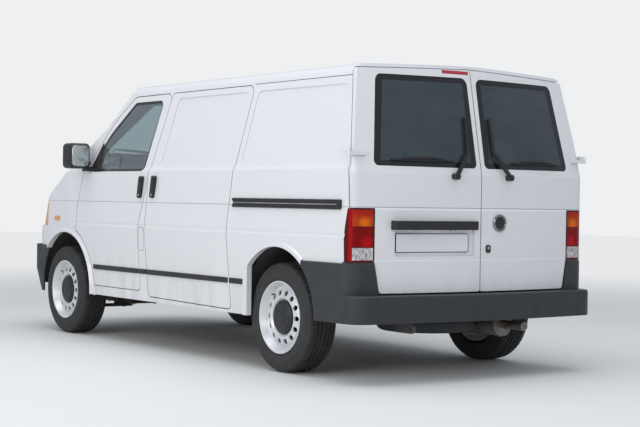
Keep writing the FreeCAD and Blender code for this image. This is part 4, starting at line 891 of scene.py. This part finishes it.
screen_out = Vector((0.5, 0, 0.86))
for tag, y_far, y_near, pivot_y in (("left", 0.575, 0.06, 0.12), ("right", -0.025, -0.51, -0.425)):
    steps = 16
    line = hits("windscreen", (3, y_near, 1.372), (3, y_far, 1.402), -X, steps)
    carrier = []
    for k in range(2, steps - 1):
        carrier.append(line[k] + screen_out * (0.01 + 0.008 * math.sin(math.pi * (k - 2) / (steps - 4))))
    pivot = Vector((1.53, pivot_y, 1.33))
    middle = carrier[len(carrier) // 2]
    arm = [pivot + Z * 0.006, pivot.lerp(middle, 0.4) + X * 0.004 + Z * 0.01, middle + X * 0.002 + Z * 0.004]
    wiper = [ribbon([place + (X + Z) * 0.004 for place in line], screen_out, 0.01, Z, 0.004),
             ribbon(carrier, screen_out, 0.007, (0.86, 0, -0.5), 0.009), tube(arm, [0.0075, 0.006, 0.0045]),
             disc(pivot - Z * 0.012, 0.017, 0.022, (0.3, 0, 1), 24, 0.003)]
    piece("screen_wiper_" + tag, wiper, seal)

lamp_z = 0.902
for tag, way in both_sides:
    bowls = []
    for bowl_y, radius in ((0.6, 0.066), (0.735, 0.052)):
        sections = []
        for k in range(9):
            share = k / 8
            x = 2.062 - (bowl_y - 0.55) * 0.18 - 0.055 * (1 - share * share)
            sections.append(circle((x, way * bowl_y, lamp_z), radius * (0.12 + 0.88 * share), 32, Y, Z))
        bulb = (sections[0][0].x, way * bowl_y, lamp_z)
        bowls += [swept(sections, False), disc(bulb, radius * 0.13, 0.02, X, 16, 0.004)]
    piece("lamp_bowl_" + tag, bowls, mirror_face)


# Load space: floor boards, wall ribs, roof bows, lashing eyes and partition beads.

board_bottom, board_top = 0.5603, 0.568
boards = [box((x0, -half, board_bottom), (x1, half, board_top), 0.002)
          for x0, x1, half in ((-2.168, -1.897, 0.86), (-1.8955, -0.9965, 0.568), (-0.995, 0.012, 0.86))]
piece("load_floor_boards", boards, ply)
piece("load_sill_strip", [box((-2.179, -0.7, 0.5602), (-2.169, 0.7, 0.57), 0.002)], dull)
rib_places = [("right", -1, x) for x in (-1.93, -1.42, -0.97, -0.5, -0.04)]
rib_places += [("left", 1, x) for x in (-1.93, -1.42)]
ribs = []
for tag, way, x in rib_places:
    line = hits("side_" + tag, (x, 0, 0.8), (x, 0, 1.7), Y * way, 10)
    ribs.append(hat_section(line, Y * -way, 0.0164))
piece("load_wall_ribs", ribs, white, smooth=False)
bows = [hat_section(hits("roof", (x, -0.66, 1.2), (x, 0.66, 1.2), Z, 20), -Z, 0.018)
        for x in (-1.75, -1.2, -0.65, -0.1)]
piece("roof_bows", bows, white, smooth=False)
eyes = []
for x in (-2.05, -0.9, -0.1):
    for y in (0.8, -0.8):
        eyes += [disc((x, y, 0.5675), 0.026, 0.003, Z, 28), ring((x, y, 0.581), 0.018, 0.0035, 28, X, Z)]
piece("lashing_eyes", eyes, dull)
beads = [box((0.0085, -0.7, z - 0.012), (0.0155, 0.7, z + 0.012), 0.003) for z in (0.8, 1.02, 1.24, 1.46)]
piece("partition_beads", beads, white)

for tag, way in both_sides:
    door = "rear_door_" + tag
    inner = hit(door, (-1.0, way * 0.35, 0.95), -X).x
    card = [sheet((inner + 0.0004, way * 0.39, 0.8725), 0.255, 0.1275, 0.03, Y, X, 0.006),
            box((inner - 0.001, way * 0.03, 0.93), (inner + 0.02, way * 0.1, 1.05), 0.006)]
    piece("rear_door_card_" + tag, card, cabin, door)
    grip = ((0.002, 0.13), (0.03, 0.135), (0.03, 0.235), (0.002, 0.24))
    pull = tube([(inner + depth, way * y, 1.13) for depth, y in grip], 0.007, 12)
    piece("rear_door_pull_" + tag, [pull], black, door)


# Cab: instruments, vents, glove box, radio, levers, pedals, mats, visors, mirror and belts.

def dash_face(y, z):
    return hit("dashboard", (0.3, y, z), X).x


dial_z = 1.18
dial_places = (0.33, 0.475)
piece("instrument_hood", [box((0.93, 0.215, 1.13), (1.13, 0.59, 1.225), 0.028)], cabin)
piece("dials_blank", [disc((0.9305, y, dial_z), 0.036, 0.002, -X, 36) for y in dial_places], seal)
dial_rims = []
for y in dial_places:
    pointer = tube([(0.9278, y, dial_z), (0.9278, y + 0.02, dial_z + 0.018)], 0.001, 6)
    dial_rims += [ring((0.929, y, dial_z), 0.037, 0.0022, 40, Y, Z), pointer]
piece("dial_rims", dial_rims, dull)
frames, slats = [], []
vent_z = 1.06
for y in (-0.69, -0.06, 0.1, 0.7):
    front = dash_face(y, vent_z)
    frames.append(looped(rounded_loop((front - 0.0015, y, vent_z), 0.06, 0.03, 0.01, Y), 0.0035))
    for n in range(-2, 3):
        z = vent_z + 0.01 * n
        slat = box((front - 0.004, y - 0.055, z - 0.0015), (front + 0.004, y + 0.055, z + 0.0015), 0.001)
        slats.append(slat)
piece("air_vents", frames + slats, black)
glove_y = -0.42
glove = sheet((dash_face(glove_y, 1.0) + 0.001, glove_y, 1.0), 0.175, 0.052, 0.014, Y, -X, 0.006)
piece("glove_box_lid", [glove], cabin)
radio_y, radio_z = 0.02, 0.99
front = dash_face(radio_y, 0.985)
radio = [sheet((front + 0.001, radio_y, radio_z), 0.092, 0.028, 0.006, Y, -X, 0.006)]
radio += [disc((front - 0.004, radio_y + dy, radio_z), 0.01, 0.012, -X, 24) for dy in (-0.075, 0.075)]
for dy in (-0.05, -0.025, 0.0, 0.025, 0.05):
    y = radio_y + dy
    radio.append(box((front - 0.009, y - 0.009, 0.97), (front - 0.004, y + 0.009, 0.978), 0.001))
piece("radio_blank", radio, seal)

lever_y = 0.06
lever_line = [(x, lever_y, z) for x, z in ((0.9, 0.425), (0.885, 0.56), (0.85, 0.7), (0.835, 0.76))]
lever = [tube(lever_line, [0.009, 0.008, 0.007, 0.006], 12),
         disc((0.835, lever_y, 0.755), 0.022, 0.03, (-0.2, 0, 1), 24, 0.012)]
for k in range(5):
    fold = (0.897 - 0.003 * k, lever_y, 0.431 + 0.014 * k)
    lever.append(disc(fold, 0.06 - 0.009 * k, 0.012, (-0.1, 0, 1), 28))
piece("gear_lever", lever, seal)
brake_y = 0.118
brake_line = [(x, brake_y, z) for x, z in ((0.36, 0.52), (0.5, 0.56), (0.62, 0.66))]
brake_lever = [tube(brake_line, [0.008, 0.009, 0.013], 12),
               box((0.3, brake_y - 0.012, 0.426), (0.42, brake_y + 0.012, 0.545), 0.006)]
piece("hand_brake", brake_lever, black)
pedals = []
tilt = Matrix.Rotation(0.35, 4, "Y")
for y, half in ((0.49, 0.03), (0.4, 0.032), (0.315, 0.022)):
    pedals.append(box((1.075, y - half, 0.555), (1.092, y + half, 0.625), 0.005, tilt))
    pedals.append(tube([(1.09, y, 0.6), (1.15, y, 0.72), (1.17, y, 0.86)], 0.006))
piece("pedals", pedals, black)
mat_bottom, mat_top = 0.4253, 0.433
mats = [box((start, -half, mat_bottom), (end, half, mat_top), 0.002)
        for start, end, half in ((0.08, 1.0, 0.78), (1.002, 1.262, 0.44))]
piece("cab_mats", mats, ribbed_rubber)


def cab_door_inside(tag, way):
    """Card with arm rest and pocket, window winder and door lever."""
    door = "cab_door_" + tag
    inner = hit(door, (0.55, 0, 0.95), Y * way).y
    into = Y * -way

    def at(x, depth, z):
        return Vector((x, inner - way * depth, z))

    card = [sheet(at(0.64, 0.0004, 0.945), 0.33, 0.225, 0.05, X, into, 0.01, 0.003),
            box(at(0.43, 0.052, 0.985), at(0.72, 0.006, 1.025), 0.012),
            box(at(0.4, 0.04, 0.735), at(0.88, 0.006, 0.83), 0.012)]
    piece("door_card_" + tag, card, cabin, door)
    crank = [at(0.8, 0.022, 0.965), at(0.745, 0.028, 0.935), at(0.705, 0.026, 0.913)]
    winder = [disc(at(0.8, 0.01, 0.965), 0.018, 0.014, into, 28, 0.003), tube(crank, [0.008, 0.007, 0.006]),
              disc(at(0.705, 0.024, 0.913), 0.013, 0.026, into, 24, 0.004)]
    piece("window_winder_" + tag, winder, black, door)
    handle = [sheet(at(0.9, 0.01, 1.06), 0.045, 0.022, 0.008, X, into, 0.004),
              box(at(0.872, 0.024, 1.052), at(0.92, 0.013, 1.068), 0.004)]
    piece("door_lever_" + tag, handle, black, door)


for tag, way in both_sides:
    cab_door_inside(tag, way)
inner_mirror = [box((0.7, -0.115, 1.6), (0.722, 0.115, 1.662), 0.01),
                tube([(0.722, 0, 1.64), (0.76, 0, 1.68), (0.79, 0, 1.722)], 0.006)]
piece("inner_mirror", inner_mirror, black)
for tag, way in (("driver", 1), ("passenger", -1)):
    y = way * 0.4
    piece("sun_visor_" + tag, [box((0.56, y - 0.18, 1.712), (0.715, y + 0.18, 1.728), 0.007)], cabin)
    y = way * 0.735
    strap = [(x, y, z) for x, z in ((0.1, 1.4), (0.105, 1.15), (0.12, 0.85), (0.15, 0.56))]
    belt = [ribbon(strap, X, 0.046, Y, 0.0016),
            box((0.078, y - 0.012, 1.385), (0.13, y + 0.012, 1.42), 0.005),
            box((0.115, y - 0.03, 0.428), (0.19, y + 0.03, 0.56), 0.01)]
    piece("seat_belt_" + tag, belt, seal)


# Underside: springs, exhaust seams and clamps, tank straps and ribs, spare wheel and bolts.

for tag, way in both_sides:
    seat = (-1.365, way * 0.515)
    piece("rear_spring_" + tag, [coil(seat, 0.057, 0.3835, 0.5345, 5, 0.0062)], chassis_steel)
    cups = [disc((*seat, 0.37), 0.068, 0.007, Z, 36), disc((*seat, 0.5475), 0.068, 0.007, -Z, 36)]
    piece("rear_spring_cups_" + tag, cups, under)

pipe_y, pipe_z, silencer_z = -0.33, 0.252, 0.3
seams = [ring((x, pipe_y, silencer_z), 0.0745, 0.0042, 56, Y, Z) for x in (-2.07, -1.62)]
seams += [ring((x, pipe_y, silencer_z), 0.0755, 0.0016, 56, Y, Z) for x in (-1.96, -1.73)]
piece("silencer_seams", seams, hanging)
clamps = []
for x in (-1.545, -0.42, 0.7):
    clamps += [ring((x + dx, pipe_y, pipe_z), 0.0255, 0.0026, 32, Y, Z) for dx in (-0.009, 0.009)]
    clamps.append(box((x - 0.013, pipe_y - 0.008, 0.277), (x + 0.013, pipe_y + 0.008, 0.289), 0.002))
    clamps += hex_bolt((x, pipe_y - 0.0075, 0.283), 0.0055, -Y)
piece("exhaust_clamps", clamps, dull)
piece("tail_pipe_lip", [ring((-2.2745, pipe_y, silencer_z), 0.0245, 0.0022, 32, Y, Z)], dull)

tank_y, strap_half = 0.05, 0.018
straps = []
for x in (-0.56, -0.11):
    back, front = x - strap_half, x + strap_half
    straps.append(box((back, tank_y - 0.3325, 0.3272), (front, tank_y + 0.3325, 0.3312), 0.0012))
    for y in (tank_y - 0.3315, tank_y + 0.3315):
        straps.append(box((back, y - 0.0018, 0.3275), (front, y + 0.0018, 0.546), 0.0008))
    straps += hex_bolt((x, tank_y, 0.3272), 0.0085, -Z)
piece("tank_straps", straps, dull)
tank_ribs = [box((-0.7, y - 0.018, 0.3255), (0.03, y + 0.018, 0.332), 0.0025)
             for y in (-0.17, -0.06, 0.16, 0.27)]
piece("tank_ribs", tank_ribs, hanging)
piece("tank_drain_plug", hex_bolt((-0.335, tank_y, 0.33), 0.013, -Z), dull)

spare = (-1.81, 0.06)
dish = [disc((*spare, 0.331), 0.163, 0.02, -Z, 60, 0.006), disc((*spare, 0.308), 0.06, 0.012, -Z, 40)]
piece("spare_wheel_dish", dish, rim_silver)
studs = []
for place in circle((*spare, 0.3085), 0.082, 5, turn=0.25):
    studs += hex_bolt(place, 0.0095, -Z)
studs += hex_bolt((*spare, 0.2965), 0.015, -Z)
piece("spare_wheel_bolts", studs, dull)
tread_ribs = [ring((*spare, z), 0.2965, 0.0048, 90, X, Y, 6) for z in (0.318, 0.349, 0.38)]
piece("spare_tread_ribs", tread_ribs, tyre_black)

arm_x, arm_z = -0.955, 0.335
bolts = []
for way in (1, -1):
    for x in (1.262, 1.668):
        for y in (0.24, 0.42):
            bolts += hex_bolt((x, way * y, 0.2255), 0.0105, -Z)
    bolts += hex_bolt((front_axle_x, way * 0.38, 0.1905), 0.0095, -Z)
    bolts += hex_bolt((arm_x, way * 0.5395, arm_z), 0.0135, Y * way)
    bolts += hex_bolt((arm_x, way * 0.4555, arm_z), 0.0135, Y * -way)
piece("underside_bolts", bolts, dull)


# Engine bay: cover, filter, hose, oil cap and dipstick, leads, bottle, battery and radiator.

engine_top = 0.9985
cover = [box((1.425, -0.15, engine_top), (1.815, 0.15, 1.03), 0.012)]
for k in range(7):
    y = -0.105 + 0.035 * k
    cover.append(box((1.455, y - 0.006, 1.026), (1.785, y + 0.006, 1.0345), 0.003))
piece("engine_cover", cover, cabin)
filter_case = [box((1.455, -0.325, engine_top), (1.715, -0.18, 1.062), 0.014),
               box((1.45, -0.328, 1.058), (1.72, -0.176, 1.086), 0.01)]
filter_case += [box((x - 0.012, -0.1785, 1.04), (x + 0.012, -0.1725, 1.08), 0.002) for x in (1.51, 1.66)]
piece("air_filter_case", filter_case, black)
bend = [Vector(place) for place in ((1.718, -0.25, 1.04), (1.76, -0.25, 1.04), (1.8, -0.235, 1.036),
                                    (1.832, -0.195, 1.024), (1.845, -0.14, 1.008))]
hose = [a.lerp(b, i / 8) for a, b in zip(bend, bend[1:]) for i in range(8)] + bend[-1:]
piece("intake_hose", [tube(hose, [0.0255 + 0.0022 * (k % 2) for k in range(len(hose))], 20)], seal)
oil_cap = [disc((1.735, 0.235, engine_top), 0.031, 0.02, Z, 32, 0.002),
           box((1.71, 0.2295, 1.012), (1.76, 0.2405, 1.026), 0.003)]
piece("oil_filler_cap", oil_cap, black)
stick = [tube([(1.825, 0.2, 0.985), (1.828, 0.202, 1.03)], 0.0045),
         ring((1.828, 0.202, 1.044), 0.013, 0.0024, 28, X, Z)]
piece("oil_dipstick", stick, bright)
leads = []
for k in range(4):
    y = -0.09 + 0.06 * k
    lead = [(1.43, y, 1.01), (1.405, y + 0.004, 1.022), (1.388, y + 0.03, 1.016),
            (1.383, 0.17 + 0.012 * k, 1.006), (1.395, 0.24 + 0.012 * k, 1.0015)]
    leads.append(tube(lead, 0.0042, 8))
piece("engine_leads", leads, seal)

shelf = hit("floor_pan", (1.55, 0.57, 1.15), -Z).z
bottle = box((1.48, 0.52, shelf - 0.001), (1.61, 0.615, shelf + 0.092), 0.018, steps=4)
piece("fluid_bottle", [bottle], plastic_tank)
piece("fluid_bottle_cap", [disc((1.52, 0.567, shelf + 0.09), 0.026, 0.016, Z, 32, 0.002)], black)
lid = shelf + 0.1375
battery = [box((1.45, -0.64, shelf - 0.001), (1.625, -0.515, shelf + 0.12), 0.006),
           box((1.447, -0.643, shelf + 0.116), (1.628, -0.512, shelf + 0.138), 0.005)]
battery += [disc((1.475 + 0.025 * k, -0.5775, lid), 0.0085, 0.004, Z, 20) for k in range(6)]
piece("battery_case", battery, cabin)
posts = [disc((x, -0.532, lid), 0.0085, 0.012, Z, 20) for x in (1.47, 1.605)]
posts.append(box((1.532, -0.65, shelf + 0.137), (1.544, -0.505, shelf + 0.14), 0.001))
piece("battery_posts", posts, dull)

rail = hit("floor_pan", (1.945, 0.42, 0.9), -Z).z
core = [box((1.938, -0.3, rail + 0.012), (1.956, 0.3, 0.89), 0.002)]
for k in range(61):
    y = -0.288 + 0.0096 * k
    core.append(box((1.934, y - 0.0012, rail + 0.03), (1.96, y + 0.0012, 0.872), 0.0004, steps=1))
piece("radiator_core", core, chassis_steel)
tanks = [box((1.926, -0.31, 0.868), (1.968, 0.31, 0.915), 0.01),
         box((1.926, -0.31, rail + 0.002), (1.968, 0.31, rail + 0.038), 0.008)]
for way in (1, -1):
    tanks.append(box((1.93, way * 0.295, rail - 0.0005), (1.964, way * 0.435, rail + 0.012), 0.002))
    tanks.append(box((1.932, way * 0.298, rail + 0.01), (1.962, way * 0.312, 0.89), 0.002))
tanks.append(disc((1.947, 0.215, 0.9135), 0.026, 0.014, Z, 32, 0.002))
piece("radiator_tanks", tanks, black)


# Floor, light and camera.

def stage_material(name, colour, far):
    """Pale floor that fades into the backdrop away from the van and is seen through from below."""
    s = Shader(name)
    x, y = s.split()[:2]
    seen = s.node("LightPath").outputs["Is Camera Ray"]
    cloudy = s.mix(s.times(s.noise(0.8, 3), 0.04), colour, tuple(c * 0.9 for c in colour))
    s.set(Base_Color=cloudy, Roughness=0.85)
    fade = s.times(s.ramp(s.reach(x, y), 3.2, 13.0), seen)
    pale = s.blend(fade, s.bsdf.outputs[0], s.node("Emission", Color=far).outputs[0])
    from_below = s.times(s.node("NewGeometry").outputs["Backfacing"], seen)
    s.link(s.blend(from_below, pale, s.node("BsdfTransparent").outputs[0]), s.out.inputs["Surface"])
    return s.material


bpy.ops.mesh.primitive_plane_add(size=60, location=(0, 0, -0.0005))
floor = bpy.context.object
floor.name = "floor"
dress(floor, stage_material("floor_pale", (0.74, 0.74, 0.73), (0.8, 0.81, 0.82)))

world = bpy.data.worlds.new("studio")
bpy.context.scene.world = world
sky = Tree(world)
path = sky.node("LightPath").outputs
direct = sky.math("MAXIMUM", path["Is Camera Ray"], path["Is Transmission Ray"])
lighting = sky.node("Background", Color=(0.86, 0.92, 1.0), Strength=0.56).outputs[0]
backdrop = sky.node("Background", Color=(0.86, 0.87, 0.88), Strength=1.0).outputs[0]
sky.link(sky.blend(direct, lighting, backdrop), sky.node("OutputWorld").inputs["Surface"])


def area_light(name, place, target, size, power, colour=(1, 1, 1)):
    data = bpy.data.lights.new(name, "AREA")
    data.shape = "RECTANGLE"
    data.size, data.size_y = size
    data.energy = power
    data.color = colour
    obj = bpy.data.objects.new(name, data)
    bpy.context.scene.collection.objects.link(obj)
    obj.location = place
    obj.rotation_euler = (Vector(target) - Vector(place)).to_track_quat("-Z", "Y").to_euler()


area_light("sky_panel", (-1.0, 1.0, 7.0), (0, 0, 0.8), (9, 6), 300)
area_light("side_panel", (-3.0, 8.0, 3.2), (-0.3, 0, 0.9), (7, 3.5), 215)
area_light("rear_panel", (-9.0, 3.4, 3.6), (-1.5, 0, 1.0), (3.4, 3), 70, (0.95, 0.98, 1.0))


def camera_like_photo():
    """Camera at the photograph's place, turned by its azimuth, its drop below level and its roll."""
    place, lens_length = (-8.76205, 5.78898, 1.04305), 82.64
    azimuth, drop, roll = 0.6168, 0.0094, 0.0156
    level = math.cos(drop)
    forward = Vector((math.cos(azimuth) * level, -math.sin(azimuth) * level, -math.sin(drop)))
    right = forward.cross(Z).normalized()
    up = right.cross(forward)
    across = math.cos(roll) * right + math.sin(roll) * up
    rise = -math.sin(roll) * right + math.cos(roll) * up
    data = bpy.data.cameras.new("photo_view")
    data.sensor_width = 36
    data.lens = lens_length
    data.clip_end = 200
    obj = bpy.data.objects.new("photo_view", data)
    bpy.context.scene.collection.objects.link(obj)
    obj.matrix_world = Matrix.Translation(place) @ Matrix((across, rise, -forward)).transposed().to_4x4()
    bpy.context.scene.camera = obj


camera_like_photo()
bpy.context.scene.view_settings.view_transform = "Standard"
